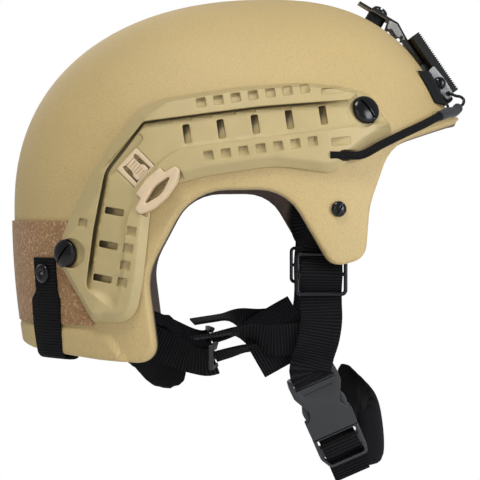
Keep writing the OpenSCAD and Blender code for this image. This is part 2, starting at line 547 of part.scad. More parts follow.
// Nape pad behind the neck, with the webbing that draws it forward
function nape_pt(s) = on_shell([77.4 * sin(s), 12 + 58 * cos(s), -192 - 6 * (1 - cos(s))]);
module pillow(places, w, t) {
    m = 10;
    n = len(places);
    function run(i) = unit(places[min(n - 1, i + 1)] - places[max(0, i - 1)]);
    function full(i) = pow(max(0, 1 - pow(abs(2 * i / (n - 1) - 1), 4)), 0.35);
    pts = [for (i = [0:n - 1]) let(u = unit([0, 0, 1] - run(i) * run(i).z),
        v = cross(run(i),
            u)) for (k = [0:m - 1]) places[i] + u * cos(360 * k / m) * w / 2 * (0.35 + 0.65
                * full(i)) + v * spow(sin(360 * k / m),
        0.7) * t / 2 * (0.45 + 0.55 * full(i))];
    skin = [for (i = [0:n - 2]) for (k = [0:m - 1]) let(a = i * m + k,
        b = i * m + (k + 1) % m) each [[a, b + m, b], [a, a + m, b + m]]];
    e = (n - 1) * m;
    polyhedron(pts, concat(skin, [for (k = [1:m - 2]) each [[0, k, k + 1], [e, e + k + 1, e + k]]]));
}
module nape_pad() color("dimgray") pillow([for (i = [0:14]) nape_pt(-70 + 140 * i / 14)], 42, 9);
nape_web_w = 20;
nape_end_w = 16;
module nape_strap_left() color("black") {
    ribbon(rows_on_shell([[[75.6, 64.5, -182], [0.1, 0, 1]], [[74.5, 55, -186], [0.1, 0, 1]],
        [[74.3, 46, -190], [0.1, 0, 1]], [[76, 32, -195.5], [0.2, 0, 1]],
        [[79, 21, -198.6], [0.3, 0, 1]]]),
        nape_web_w, web_t);
    ribbon(rows_on_shell([[[59.9, 101.9, -191], [0.2, 0, 1]], [[68, 90, -185], [0.3, 0, 1]],
        [[75.4, 70, -181.5], [0.1, 0, 1]], [[76, 66.3, -181.8], [0.1, 0, 1]]]),
        nape_end_w, web_t);
}
module nape_strap_right() mirror([1, 0, 0]) nape_strap_left();
slider_at = on_shell([83, 17.4, -196]);
module nape_sliders() color("black") both() translate(slider_at) rotate([0, 0, 8]) difference() {
    translate([-14, -3.4, -12]) cube([28, 2.6, 19]);
    for (z = [-9, -1.5]) translate([-10.5, -5, z]) cube([21, 6, 3.6]);
}

// Side-release buckle on the right: z runs up its length, x through its thickness
buckle_run = unit([-12, -22.5, -52]);
buckle_x = unit(cross([0, 0.9, -0.4], -buckle_run));
function buckle_pt(x, y, z) = buckle_at + buckle_x * x + cross(-buckle_run, buckle_x) * y - buckle_run * z;
module at_buckle() mirror([1, 0, 0]) frame_at(buckle_at, buckle_x, -buckle_run) children();
module slab(outline, t)
    rotate([90, 0, 90]) translate([0, 0, -t / 2]) linear_extrude(t) polygon(rounded(outline));
socket_l = 38;
waist = buckle_w / 2 - 6.4;
socket_line = [for (s = [1, -1]) each let(q = [[15.2, 0, 2], [15, -9.4, 3], [waist, -13.5, 3],
    [waist + 0.6, -18, 3], [buckle_w / 2, -23, 3],
    [buckle_w / 2, -socket_l, 1.5]]) s > 0 ? q : [for (i = [len(q) - 1:-1:0]) [-q[i].x, q[i].y,
    q[i].z]]];
cavity_t = buckle_t - 3.4;
module buckle_socket() color("black") at_buckle() difference() {
    slab(socket_line, buckle_t);
    translate([-buckle_t, -web_w / 2 - 0.4, -6.8]) cube([2 * buckle_t, web_w + 0.8, 3.6]);
    translate([-cavity_t / 2, -buckle_w, -socket_l - 1]) cube([cavity_t, 2 * buckle_w,
        socket_l + 1 - 18.4]);
    translate([-cavity_t / 2, -waist + 1.6, -24]) cube([cavity_t, 2 * waist - 3.2, 12]);
}
plug_gap = 0.4;
prong_at = buckle_w / 2 - 4.2;
module buckle_plug() color("black") at_buckle() {
    difference() {
        slab([[buckle_w / 2, -socket_l - plug_gap, 1], [buckle_w / 2, -socket_l - 8, 8],
            [13, -61.5, 2.5], [-13, -61.5, 2.5], [-buckle_w / 2, -socket_l - 8, 8],
            [-buckle_w / 2, -socket_l - plug_gap, 1]],
            buckle_t - 1.5);
        for (z = [-socket_l - 10.2, -socket_l - 19]) translate([-buckle_t, -12,
            z]) cube([2 * buckle_t, 24, 4.4]);
    }
    translate([-cavity_t / 2 + 0.5, -3, -socket_l - 0.8]) cube([cavity_t - 1, 6, 22]);
    for (s = [-1, 1]) translate([-cavity_t / 2 + 0.5, s * prong_at - 1.8,
        -socket_l - 0.8]) cube([cavity_t - 1, 3.6, 3]);
}
module prong(s) color("black") at_buckle() scale([1, s, 1]) slab([
    [prong_at - 1.7, -socket_l + 2.5, 0], [prong_at + 1.7, -socket_l + 2.5, 0],
    [prong_at + 1.6, -27, 3], [buckle_w / 2 + 0.6, -22, 2], [buckle_w / 2 - 1, -16, 1.5],
    [waist + 3.2, -15, 1], [waist + 2.6, -19, 1], [prong_at - 1.1, -25, 4]],
    cavity_t - 1);
module prong_front() prong(-1);
module prong_rear() prong(1);

// Chin strap from the plug, the padded cup under the chin and the strap up the left side
cup_pts = route(pts_on_shell([[-58, -70, -252], [-34, -86, -252], [0, -92, -247], [34, -86, -241],
    [60, -69, -232]]),
    4);
module chin_cup() color("dimgray") pillow(cup_pts, 50, 9);
plug_bar = -50.4;
module chin_strap() color("black") mirror([1, 0, 0]) ribbon(concat(
    rows_on_shell([[[60.2, -68.3, -251.2], [0, 0.5, 0.9]], [[62.8, -65.6, -249.2], [0, 0.7, 0.6]]]),
    [for (q = [[-10, plug_bar + 6.6], [-5.4, plug_bar + 4.6], [0, plug_bar + 4.4],
        [4.2, plug_bar + 3.6], [5.2, plug_bar], [4.2, plug_bar - 3.6], [0, plug_bar - 4.4],
        [-4.6, plug_bar - 5], [-6.4, plug_bar - 9], [-7, plug_bar - 16],
        [-6, plug_bar - 24]]) [buckle_pt(q.x, 0, q.y),
        [0, 0.9, -0.4]]]),
        web_w - 2, web_t);
left_places = route([[87.8, -46, -209.2], [84.2, -48, -214.6], [79, -53, -220.5], [71, -60, -226.5],
    [61.5, -68.1, -231.6]],
    3);
left_turns = route([[0, 1, -0.07], [0, 1, 0.1], [0, 1, 0.2], [0, 0.9, 0.5], [0, 0.7, 0.7]], 3);
left_rows = [for (i = [0:len(left_places) - 1]) [left_places[i], left_turns[i]]];
module chin_strap_left() color("black") ribbon(rows_on_shell(left_rows), web_w - 2, web_t);

// Night-vision bracket: a side-view place on its plate frame, and on the crown screw's frame
plate_o = [mid_y + (-118 - mid_y) * drawn_share(-118), 6.4];
plate_turn = 34.6;
function plate_pt(y, z) = plate_o + [y * cos(plate_turn) + z * sin(plate_turn),
    -y * sin(plate_turn) + z * cos(plate_turn)];
function crown_pt(u, h) = [crown_screw.y, crown_screw.z] + u * [crown_screw_run.y,
    crown_screw_run.z] + h * [crown_screw_dir.y, crown_screw_dir.z];
module at_plate() translate([0, plate_o.x, plate_o.y]) rotate([-plate_turn, 0, 0]) children();
module side_cut(points, w) rotate([90, 0, 90]) translate([0, 0, -w / 2]) linear_extrude(w) polygon(points);
spacer_h = 7;
arm_t = 1.6;
arm_w = 20;
block_w = plate_w;
link_t = 1.6;
link_line = [[4, -35, 3], [5, -23.4, 1], [9.2, -24.2, 1], [12.2, -33.6, 5], [10.2, -46.4, 1.2],
    [4.8, -46.4, 1.2]];
link_pin = [8.6, -34.8];
hook_pin = [7.4, -43.6];
module bracket_spacer() color("black") at_crown_screw() translate([0, 0, 0.6]) difference() {
    cylinder(d = 12.4, h = spacer_h - 0.6, $fn = 40);
    translate([0, 0, -1]) cylinder(d = 5.4, h = spacer_h + 2, $fn = 32);
}
module bracket_arm() color("gray") difference() {
    union() {
        side_cut(folded([crown_pt(6, spacer_h + arm_t / 2), crown_pt(-7, spacer_h + arm_t / 2),
            plate_pt(6, 12.5), plate_pt(plate_t + 1.2, 1), plate_pt(plate_t + 1.2, -19)],
            arm_t),
            arm_w);
        side_cut(folded([crown_pt(15, spacer_h + arm_t / 2), crown_pt(-6, spacer_h + arm_t / 2)],
            arm_t),
            12);
        for (s = [-1, 1]) translate([s * (arm_w / 2 - arm_t / 2), 0,
            0]) side_cut([crown_pt(-8, spacer_h), plate_pt(6.2, 12.4), plate_pt(plate_t + 1, 1),
            plate_pt(8.4, 1), plate_pt(11.2, 6), plate_pt(11, 12), crown_pt(-9.5, 1)],
            arm_t);
    }
    at_crown_screw() cylinder(d = 5.4, h = 20, $fn = 32);
    for (q = [plate_pt(9, 3.6)]) translate([-arm_w, q.x, q.y]) rotate([0, 90, 0]) cylinder(d = 2.6,
        h = 2 * arm_w, $fn = 20);
}
module bracket_screw() color("black") at_crown_screw() {
    translate([0, 0, spacer_h + arm_t + 0.2]) slotted_head(11, 4.2, 1.4);
    translate([0, 0, -wall_t - 4.4]) cylinder(d = 5, h = wall_t + 4.4 + spacer_h + arm_t + 0.25, $fn = 32);
}
module bracket_nut() color("silver") at_crown_screw() translate([0, 0, -wall_t - 2.8]) difference() {
    cylinder(d = 13, h = 1.6, $fn = 40);
    translate([0, 0, -1]) cylinder(d = 5.3, h = 4, $fn = 32);
}
tooth_pitch = 1.5;
module bracket_plate() color("black") at_plate() difference() {
    slab([[0, 0, 1], [plate_t, 0, 1], [plate_t, -plate_l, 1], [0, -plate_l, 1]], plate_w);
    for (s = [-1,
        1]) for (i = [1:plate_l / tooth_pitch - 1]) translate([s * (plate_w / 2 - 2) - 2.5, -1,
        -i * tooth_pitch]) cube([5, 2, tooth_pitch / 2]);
    translate([-15, -1, -plate_l + 8]) cube([30, 4.2, plate_l - 16]);
    translate([-11, -1, -plate_l - 1]) cube([22, 4.2, 10]);
}
function brow_angle(x, z, d,
    a = -90) = -90 + asin(min(1, max(-1, spow(x / ((shell_half_w + d) * ring(z, d, a)), bulge_h / 2))));
function brow_pt(x, z, d) = [x, dome_pt(brow_angle(x, z, d, brow_angle(x, z, d)), z, d).y, z];
pad_base = 0.9;
pad_block = plate_w / 2 - 0.4;
pad_sides = [[49, 1.6], [46, 4.4], [37, 4.4], [35.4, 1.2], [pad_block + 0.1, 1.2], [pad_block, 0],
    [pad_block / 2, 0]];
pad_x = concat([for (q = pad_sides) [-q[0], q[1]]], [[0, 0]],
    [for (i = [len(pad_sides) - 1:-1:0]) pad_sides[i]]);
pad_levels = [-41, -38.5, -34, -29.5, -25, -20.5, -15.5];
module bracket_pad() color("black") difference() {
    base = [for (q = pad_x) for (z = pad_levels) brow_pt(q[0], z, pad_base)];
    top = [for (q = pad_x) for (z = pad_levels) let(p = brow_pt(q[0], z, pad_base),
        b = (p.y - plate_o.x) * cos(plate_turn) - (z - plate_o.y) * sin(plate_turn)) q[1] == 0
            ? p + (b - plate_t - gap) * [0,
        -cos(plate_turn), sin(plate_turn)] : brow_pt(q[0], z, q[1])];
    m = len(pad_levels);
    n = len(pad_x);
    o = m * n;
    skin = [for (i = [0:n - 2]) for (j = [0:m - 2]) let(a = i * m + j) each [[a, a + m, a + m + 1],
        [a, a + m + 1, a + 1], [o + a, o + a + m + 1, o + a + m], [o + a, o + a + 1, o + a + m + 1]]];
    low = [for (i = [0:n - 2]) for (e = [0, m - 1]) let(a = i * m + e,
        b = a + m) each e == 0 ? [[a, o + b, b], [a, o + a, o + b]] : [[a, b, o + b],
        [a, o + b, o + a]]];
    ends = [for (j = [0:m - 2]) for (e = [0, (n - 1) * m]) let(a = e + j,
        b = a + 1) each e == 0 ? [[a, b, o + b], [a, o + b, o + a]] : [[a, o + b, b],
        [a, o + a, o + b]]];
    polyhedron(concat(base, top), concat(skin, low, ends));
    at_plate() for (s = [-1, 1]) translate([s * (block_w / 2 - 5) - 10, link_pin.x,
        link_pin.y]) rotate([0, 90, 0]) cylinder(d = 4.4,
        h = 20, $fn = 24);
}
module side_links() color("gray") both() at_plate() difference() {
    translate([block_w / 2 + gap + link_t / 2, 0, 0]) slab(link_line, link_t);
    translate([0, link_pin.x, link_pin.y]) rotate([0, 90, 0]) cylinder(d = 4.4, h = plate_w, $fn = 24);
    translate([0, hook_pin.x, hook_pin.y]) rotate([0, 90, 0]) cylinder(d = 3.2, h = plate_w, $fn = 24);
}
module link_screws() color("black") both() at_plate() translate([block_w / 2 + gap + link_t + 0.2,
    link_pin.x, link_pin.y]) rotate([0, 90, 0]) {
    slotted_head(8.4, 3.6, 1.2);
    translate([0, 0, -14]) cylinder(d = 4, h = 14.05, $fn = 24);
}

// Stretch cords from the rails to the bracket
cord_pts = pts_on_shell([[119.4, -53, -76.3], [118.2, -58, -76.3], [117, -63, -76.3],
    [114.5, -73, -75.8], [108, -85, -69.6], [97, -100, -62.4], [85.6, -113, -56.4],
    [70.5, -125, -50.4]]);
sleeve_pts = pts_on_shell([[70.2, -125.3, -50.2], [54, -134.6, -46.2], [38.5, -142.6, -41.6]]);
module cord() color("black") tube(route(cord_pts, 3), cord_d, 8);
module cord_left() cord();
module cord_right() mirror([1, 0, 0]) cord();
module cord_sleeves() color("dimgray") both() tube(route(sleeve_pts, 3), cord_d + 1.4, 8);
wire_d = 2;
hook_end = plate_pt(hook_pin.x, hook_pin.y);
module cord_hooks() color("silver") both() tube(route(concat(pts_on_shell([[37.8, -143.1, -41.3],
    [36, -147, -38.6], [35, -148.2, -35], [34.4, -145, -32.6], [34, -141, -33.4]]),
    [[33.4, hook_end.x, hook_end.y], [28.6, hook_end.x, hook_end.y]]),
    3),
    wire_d, 8);

shell();
loop_panel();
rail_right();
rail_left();
rail_screws_front();
rail_screws_rear();
rail_nuts();
cheek_screws();
cheek_nuts();
clip_right();
clip_left();
clip_tongue_right();
clip_tongue_left();
crown_pad();
front_pad();
rear_pad();
side_pads();
hook_discs();
retention_strap_right();
retention_strap_left();
retention_flap_right();
retention_flap_left();
snap_cap_right();
snap_cap_left();
snap_studs();
cheek_strap_right();
cheek_strap_left();
strap_glides();
rear_strap_right();
rear_strap_left();
strap_ends();
nape_pad();
nape_strap_right();
nape_strap_left();
nape_sliders();
buckle_socket();
buckle_plug();
prong_front();
prong_rear();
chin_strap();
chin_cup();
chin_strap_left();
bracket_pad();
bracket_plate();
bracket_arm();
bracket_spacer();
bracket_screw();
bracket_nut();
side_links();
link_screws();
cord_hooks();
cord_right();
cord_left();
cord_sleeves();
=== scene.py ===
"""Combat helmet with side rails, a front shroud bracket, stretch cords and a chin strap harness.

Front is -Y, the wearer's left is +X and up is +Z, in metres. Shapes are worked out in millimetres.
"""
import math

import bpy
import numpy as np
from mathutils import Matrix, Vector, noise
from mathutils.geometry import delaunay_2d_cdt


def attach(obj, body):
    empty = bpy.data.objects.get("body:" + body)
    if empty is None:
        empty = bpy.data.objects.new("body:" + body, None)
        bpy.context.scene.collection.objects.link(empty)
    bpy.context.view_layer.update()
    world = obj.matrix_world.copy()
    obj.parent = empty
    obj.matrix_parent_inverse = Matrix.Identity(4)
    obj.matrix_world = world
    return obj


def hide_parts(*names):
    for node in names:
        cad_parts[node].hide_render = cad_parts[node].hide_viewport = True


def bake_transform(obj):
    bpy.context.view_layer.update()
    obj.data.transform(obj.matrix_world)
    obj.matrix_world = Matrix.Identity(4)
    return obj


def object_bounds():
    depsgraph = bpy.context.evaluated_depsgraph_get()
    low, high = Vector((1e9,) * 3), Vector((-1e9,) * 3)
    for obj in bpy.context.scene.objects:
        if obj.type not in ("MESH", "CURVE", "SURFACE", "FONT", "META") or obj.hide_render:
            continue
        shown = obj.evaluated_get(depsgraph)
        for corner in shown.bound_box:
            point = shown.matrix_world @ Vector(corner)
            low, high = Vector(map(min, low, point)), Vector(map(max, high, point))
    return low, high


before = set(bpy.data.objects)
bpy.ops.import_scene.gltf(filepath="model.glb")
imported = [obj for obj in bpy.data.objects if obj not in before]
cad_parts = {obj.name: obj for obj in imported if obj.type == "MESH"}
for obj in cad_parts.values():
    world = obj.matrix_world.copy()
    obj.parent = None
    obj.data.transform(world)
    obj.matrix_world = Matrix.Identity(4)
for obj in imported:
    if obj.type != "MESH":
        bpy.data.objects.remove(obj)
cad_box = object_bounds()

bl_info = {
    "name": "Combat helmet",
    "version": (1, 0, 0),
    "blender": (4, 5, 0),
    "location": "View3D > Sidebar > Helmet",
    "description": "Dresses the frame of a combat helmet with its finished pieces",
    "category": "Object",
}

MM = 0.001
HELMET = "helmet"
LEFT, RIGHT = 1, -1
MIRROR = Matrix.Scale(-1, 4, (1, 0, 0))
SIDEWAYS = Matrix.Rotation(math.radians(90), 4, "Y")
ACROSS = Matrix(((0, 0, 1, 0), (1, 0, 0, 0), (0, 1, 0, 0), (0, 0, 0, 1)))


# Sizes and colours
def length(label, text, default, low, high):
    """A size in millimetres with its limits."""
    return bpy.props.FloatProperty(name=label, description=text, default=default, min=low, max=high)


class HelmetSizes(bpy.types.PropertyGroup):
    """Sizes of the helmet's main forms, in millimetres"""
    half_width: length("Half width", "Half of the shell's width at the ears", 118, 110, 126)
    rear_reach: length("Rear reach", "Length from the widest section to the back", 167.5, 158, 176)
    front_reach: length("Front reach", "Length from the widest section to the brow", 120, 116, 126)
    rise: length("Rise", "Height of the dome above the belt line", 136.5, 128, 146)
    wall: length("Wall", "Thickness of the laminate", 8, 6, 10)
    edge_round: length("Edge rounding", "Radius of the painted rim", 2.0, 0.5, 3.5)
    bar_height: length("Bar height", "Height of the rail bars above the shell", 8, 7, 10)
    channel_height: length("Channel height", "Height of the channel floor above the shell", 5, 4, 6)
    webbing_width: length("Webbing width", "Width of the harness webbing", 25, 20, 26)
    webbing_thickness: length("Webbing thickness", "Thickness of the webbing", 1.6, 1.2, 2)
    cord_diameter: length("Cord diameter", "Diameter of the stretch cord", 5, 4, 6)


def linear(code):
    """Turns an sRGB hex colour to the linear numbers that the shaders take."""
    parts = [int(code[i:i + 2], 16) / 255 for i in (1, 3, 5)]
    return tuple(p / 12.92 if p <= 0.04045 else ((p + 0.055) / 1.055) ** 2.4 for p in parts)


def colour(label, text, code):
    return bpy.props.FloatVectorProperty(
        name=label, description=text, subtype="COLOR", size=3, min=0, max=1, default=linear(code))


class HelmetColours(bpy.types.PropertyGroup):
    """Colours of the helmet's finishes"""
    paint: colour("Paint", "Textured paint of the shell", "#B19A69")
    rail: colour("Rail", "Moulded nylon of the rails", "#A9976A")
    clip: colour("Clip", "Moulded acetal of the sliding clips", "#C4AE8E")
    loop: colour("Loop fabric", "Loop fabric round the back", "#9C7650")
    lining: colour("Lining", "Bare laminate inside the shell", "#3A2A20")
    webbing: colour("Webbing", "Woven harness webbing", "#0B0B0D")
    pads: colour("Pads", "Brushed knit over the foam pads", "#0E0E10")
    plastic: colour("Plastic", "Black acetal of the buckle and sliders", "#1C1D20")
    steel: colour("Black steel", "Blackened steel of the screws and the bracket, and its rubber", "#0B0B0C")
    plated: colour("Plated steel", "Plating of the nuts and snap studs", "#6E7174")
    # Painted reflection: a grey that stands in for light reflected off the black steel of the links and the arm's
    # sides.
    coated: colour("Coated steel", "Grey painted on the links, the arm's flanges and its underside as a reflection off black steel", "#8F9191")
    sleeve: colour("Sleeve", "Shrink tube over the cord ends", "#232428")


def sizes():
    return bpy.context.scene.helmet_sizes


def tint(name):
    return tuple(getattr(bpy.context.scene.helmet_colours, name)) + (1,)


# The dome's shape
MID_Y, BELT_Z = -23.5, -108.0
BULGE_V, BULGE_H, BULGE_BROW = 2.27, 2.2, 0.13
SKIRT_DRAW, BROW_SLOPE = 0.045, 0.8


def ring(z, d, bulge=BULGE_V):
    """Width of the dome at a level, as a share of its width at the belt."""
    low = 1 - SKIRT_DRAW * np.maximum(0, (BELT_Z - z) / 90) ** 2
    up = np.clip((z - BELT_Z) / (sizes().rise + d), 0, 1)
    return np.where(z < BELT_Z, low, np.maximum(0, 1 - up ** bulge) ** (1 / bulge))


def dome(a, z, d):
    """Places on the dome at bearings a (degrees), levels z and heights d above the painted face."""
    a, z, d = np.broadcast_arrays(np.asarray(a, float), np.asarray(z, float), np.asarray(d, float))
    s, c = np.sin(np.radians(a)), np.cos(np.radians(a))
    bulge = BULGE_V + BULGE_BROW * np.maximum(0, -s) ** 4
    r = ring(z, d, bulge)
    turn = np.abs(a + 90)
    turn = np.minimum(turn, 360 - turn)
    share = np.maximum(0, np.cos(np.radians(np.minimum(90, turn * 1.45)))) ** 1.2
    brow = -38.5 - 14.3 * (turn / 52) ** 2.5
    out = np.where(turn > 62, 0, BROW_SLOPE * share * np.maximum(0, brow - z))
    reach = np.where(s > 0, sizes().rear_reach, sizes().front_reach)
    p = 2 / BULGE_H
    x = (sizes().half_width + d) * r * np.sign(c) * np.abs(c) ** p
    y = MID_Y + (reach + d) * r * np.sign(s) * np.abs(s) ** p - out
    return np.stack([x, y, z], -1)


def side_x(y, z, d):
    """Half-width of the dome at places of the side view."""
    y, z, d = np.broadcast_arrays(np.asarray(y, float), np.asarray(z, float), np.asarray(d, float))
    r = ring(z, d)
    reach = np.where(y > MID_Y, sizes().rear_reach, sizes().front_reach) + d
    q = np.minimum(1, np.abs(y - MID_Y) / (reach * r))
    return (sizes().half_width + d) * r * (1 - q ** BULGE_H) ** (1 / BULGE_H)


def side_point(y, z, d=0.0):
    """The place on the left side at height d, from the side view."""
    return Vector((float(side_x(y, z, d)), y, z))


def side_normal(y, z):
    """Outward direction of the left side at a place of the side view."""
    along = side_point(y + 1, z) - side_point(y - 1, z)
    up = side_point(y, z + 1) - side_point(y, z - 1)
    return along.cross(up).normalized()


# Outlines in the side view, as (y, z, corner radius)
TRIM = [(-175, -39.5, 0), (-92.6, -69, 30), (-78.8, -106, 40), (-76.3, -138, 11), (-56, -143, 10), (-27, -96, 30),
        (30, -96.5, 36), (57.8, -147, 34), (50.5, -202, 11), (85, -200, 30), (128, -195.5, 30), (170, -186, 0)]
RAIL = [(-78.5, -38.5, 3), (-60, -34, 30), (-38, -32.3, 40), (0, -35, 60), (45, -41.5, 40), (61, -48, 14),
        (88, -84.5, 40), (104, -115, 40), (112.5, -137, 6), (89, -176.5, 3), (63, -177, 14), (58, -152, 30),
        (52.8, -103, 12), (38, -93, 16), (20, -88.5, 30), (-21, -82.3, 60), (-56, -87, 16), (-75, -71, 30),
        (-92.5, -60.3, 2), (-88, -53, 4)]
CHANNEL = [(-66, -42.8, 2), (-11.7, -47.2, 60), (58, -55.8, 4), (81, -85, 20), (88, -120, 60), (93, -156, 8),
           (74, -171, 3), (70, -146, 30), (69, -124, 40), (67, -111, 20), (48, -80, 20), (36, -72, 20),
           (20, -70, 40), (-48, -61.4, 40), (-99, -54.6, 0), (-99, -33, 0), (-76, -33, 0)]
SCREW_FRONT, SCREW_REAR = (-73.8, -50.2), (102.4, -135.0)
CHEEK_SCREW, SNAP = (-58.6, -108.2), (117.4, -147.5)
RAIL_SCREW_D, RUN_TILT = 16.6, 7.9


def rounded(points, closed=True, step=12.0):
    """An outline with each corner rounded to the radius in its third number."""
    out = []
    n = len(points)
    for i, (y, z, r) in enumerate(points):
        b = np.array([y, z], float)
        if r == 0 or (not closed and i in (0, n - 1)):
            out.append(b)
            continue
        u = np.array(points[i - 1][:2], float) - b
        v = np.array(points[(i + 1) % n][:2], float) - b
        u, v = u / np.linalg.norm(u), v / np.linalg.norm(v)
        half = math.acos(max(-1, min(1, float(u @ v)))) / 2
        m = (u + v) / np.linalg.norm(u + v)
        o = b + m * r / math.sin(half)
        p = b + u * r / math.tan(half) - o
        q = b + v * r / math.tan(half) - o
        way = 1 if p[0] * q[1] - p[1] * q[0] > 0 else -1
        sweep = math.pi - 2 * half
        count = max(1, math.ceil(math.degrees(sweep) / step))
        for k in range(count + 1):
            w = way * sweep * k / count
            c, s = math.cos(w), math.sin(w)
            out.append(o + np.array([p[0] * c - p[1] * s, p[0] * s + p[1] * c]))
    return np.array(out)


def walked(points, pitch, closed=True):
    """The outline again, with a point at least every pitch millimetres."""
    ends = np.vstack([points, points[:1]]) if closed else points
    out = []
    for a, b in zip(ends[:-1], ends[1:]):
        n = max(1, math.ceil(np.linalg.norm(b - a) / pitch))
        out += [a + (b - a) * k / n for k in range(n)]
    return np.array(out if closed else out + [ends[-1]])


def paced(points, pitch):
    """The line again, with its points evenly spaced."""
    steps = np.concatenate([[0], np.cumsum(np.linalg.norm(np.diff(points, axis=0), axis=1))])
    at = np.linspace(0, steps[-1], max(2, int(round(steps[-1] / pitch)) + 1))
    return np.stack([np.interp(at, steps, points[:, k]) for k in range(points.shape[1])], -1)


def offset(points, d, closed=True):
    """The outline moved d millimetres to the left of its run."""
    before, after = np.roll(points, 1, 0), np.roll(points, -1, 0)
    if not closed:
        before[0], after[-1] = points[0], points[-1]
    u, v = points - before, after - points
    u /= np.maximum(1e-9, np.linalg.norm(u, axis=1, keepdims=True))
    v /= np.maximum(1e-9, np.linalg.norm(v, axis=1, keepdims=True))
    if not closed:
        u[0], v[-1] = v[0], u[-1]
    m = u + v
    m /= np.linalg.norm(m, axis=1, keepdims=True)
    cos = np.maximum(0.5, (m * u).sum(1))[:, None]
    return points + d * np.stack([-m[:, 1], m[:, 0]], -1) / cos


def inside(poly, pts):
    """True for the points that lie inside the closed outline."""
    a, b = poly, np.roll(poly, -1, 0)
    hit = np.zeros(len(pts), bool)
    for (ay, az), (by, bz) in zip(a, b):
        if az == bz:
            continue
        cross = (az > pts[:, 1]) != (bz > pts[:, 1])
        hit ^= cross & (pts[:, 0] < (by - ay) * (pts[:, 1] - az) / (bz - az) + ay)
    return hit


def distance(poly, pts, closed=True):
    """Distance from each point to the outline."""
    a = poly if closed else poly[:-1]
    b = np.roll(poly, -1, 0) if closed else poly[1:]
    best = np.full(len(pts), 1e9)
    for p, q in zip(a, b):
        run = q - p
        t = np.clip(((pts - p) @ run) / max(1e-12, run @ run), 0, 1)
        best = np.minimum(best, np.hypot(*(pts - p - t[:, None] * run).T))
    return best


def signed_area(line):
    """Area of a closed outline, below zero where it runs clockwise."""
    ahead = np.roll(line, -1, 0)
    return 0.5 * np.sum(line[:, 0] * ahead[:, 1] - ahead[:, 0] * line[:, 1])


def anticlockwise(line):
    return line if signed_area(line) > 0 else line[::-1]


def depth_in(poly, pts):
    """Signed distance: positive inside the closed outline."""
    return np.where(inside(poly, pts), 1, -1) * distance(poly, pts)


def bar(center, turn, w, l, r=0.8):
    """A rounded rectangle of the side view, w along its turn and l across."""
    u = np.array([math.cos(math.radians(turn)), math.sin(math.radians(turn))])
    v = np.array([-u[1], u[0]])
    flat = rounded([(-w / 2, -l / 2, r), (w / 2, -l / 2, r), (w / 2, l / 2, r), (-w / 2, l / 2, r)], step=30)
    return np.array([np.array(center) + p[0] * u + p[1] * v for p in flat])


def circle(center, r, n=48):
    t = np.linspace(0, 2 * math.pi, n, endpoint=False)
    return np.stack([center[0] + r * np.cos(t), center[1] + r * np.sin(t)], -1)


def along(p, turn, s):
    """The point s millimetres from p in the direction turn."""
    return (p[0] + s * math.cos(math.radians(turn)), p[1] + s * math.sin(math.radians(turn)))


# Making and finishing pieces
def deselect():
    for obj in bpy.context.selected_objects:
        obj.select_set(False)


def choose(obj):
    deselect()
    obj.select_set(True)
    bpy.context.view_layer.objects.active = obj


def mesh_object(name, verts, faces, edges=()):
    """A new object from places in millimetres."""
    mesh = bpy.data.meshes.new(name)
    places = [tuple(float(c) * MM for c in v) for v in verts]
    mesh.from_pydata(places, list(edges), [tuple(int(i) for i in f) for f in faces])
    obj = bpy.data.objects.new(name, mesh)
    bpy.context.collection.objects.link(obj)
    choose(obj)
    return obj


def modify(obj, kind, **values):
    """Adds a modifier with its settings and applies it."""
    choose(obj)
    mod = obj.modifiers.new(kind.title(), kind)
    for key, value in values.items():
        setattr(mod, key, value)
    bpy.ops.object.modifier_apply(modifier=mod.name)
    return obj


def settle(obj):
    """Puts the object at the origin with its place in its mesh."""
    choose(obj)
    bpy.ops.object.transform_apply(location=True, rotation=True, scale=True)
    return obj


def edited(obj, *steps):
    """Runs the steps in edit mode, each on the whole mesh."""
    choose(obj)
    bpy.ops.object.mode_set(mode="EDIT")
    for step in steps:
        bpy.ops.mesh.select_all(action="SELECT")
        step()
    bpy.ops.object.mode_set(mode="OBJECT")
    return obj


def merge():
    bpy.ops.mesh.remove_doubles(threshold=1e-6)


def face_out():
    bpy.ops.mesh.normals_make_consistent(inside=False)


def outward(obj):
    return edited(obj, merge, face_out)


def finished(obj, node, part, look, body=HELMET, smooth=35, name=None):
    """Names the piece, gives it its finish, and hangs it on its body in place of its node."""
    obj.name = obj.data.name = name or f"{node}_{part}"
    if look:
        obj.data.materials.clear()
        obj.data.materials.append(finish(look))
    choose(obj)
    bpy.ops.object.shade_smooth_by_angle(angle=math.radians(smooth))
    if body:
        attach(obj, body)
    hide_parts(node)
    return obj


def mirrored(obj, name):
    """A copy of the piece on the other side, facing outwards again."""
    mesh = obj.data.copy()
    mesh.transform(MIRROR)
    mesh.flip_normals()
    twin = bpy.data.objects.new(name, mesh)
    bpy.context.collection.objects.link(twin)
    return twin


def frame_at(origin, x, z):
    """A matrix, in metres, from an origin in millimetres and two directions."""
    x, z = Vector(x).normalized(), Vector(z).normalized()
    y = z.cross(x)
    m = Matrix((x, y, z)).transposed().to_4x4()
    m.translation = Vector(origin) * MM
    return m


def place(obj, matrix):
    """The piece moved by a matrix, with its place in its mesh."""
    obj.data.transform(matrix)
    obj.matrix_world = Matrix()
    return obj


def side_frame(p, d=0.0):
    """A frame on the left side with z outwards."""
    n = side_normal(*p)
    return frame_at(side_point(*p) + n * d, Vector((1, 0, 0)).cross(n), n)


def shifted(obj, x, y, z):
    """The piece moved, in millimetres."""
    obj.data.transform(Matrix.Translation((x * MM, y * MM, z * MM)))
    return obj


def spun(obj, degrees):
    """The piece turned about z."""
    obj.data.transform(Matrix.Rotation(math.radians(degrees), 4, "Z"))
    return obj


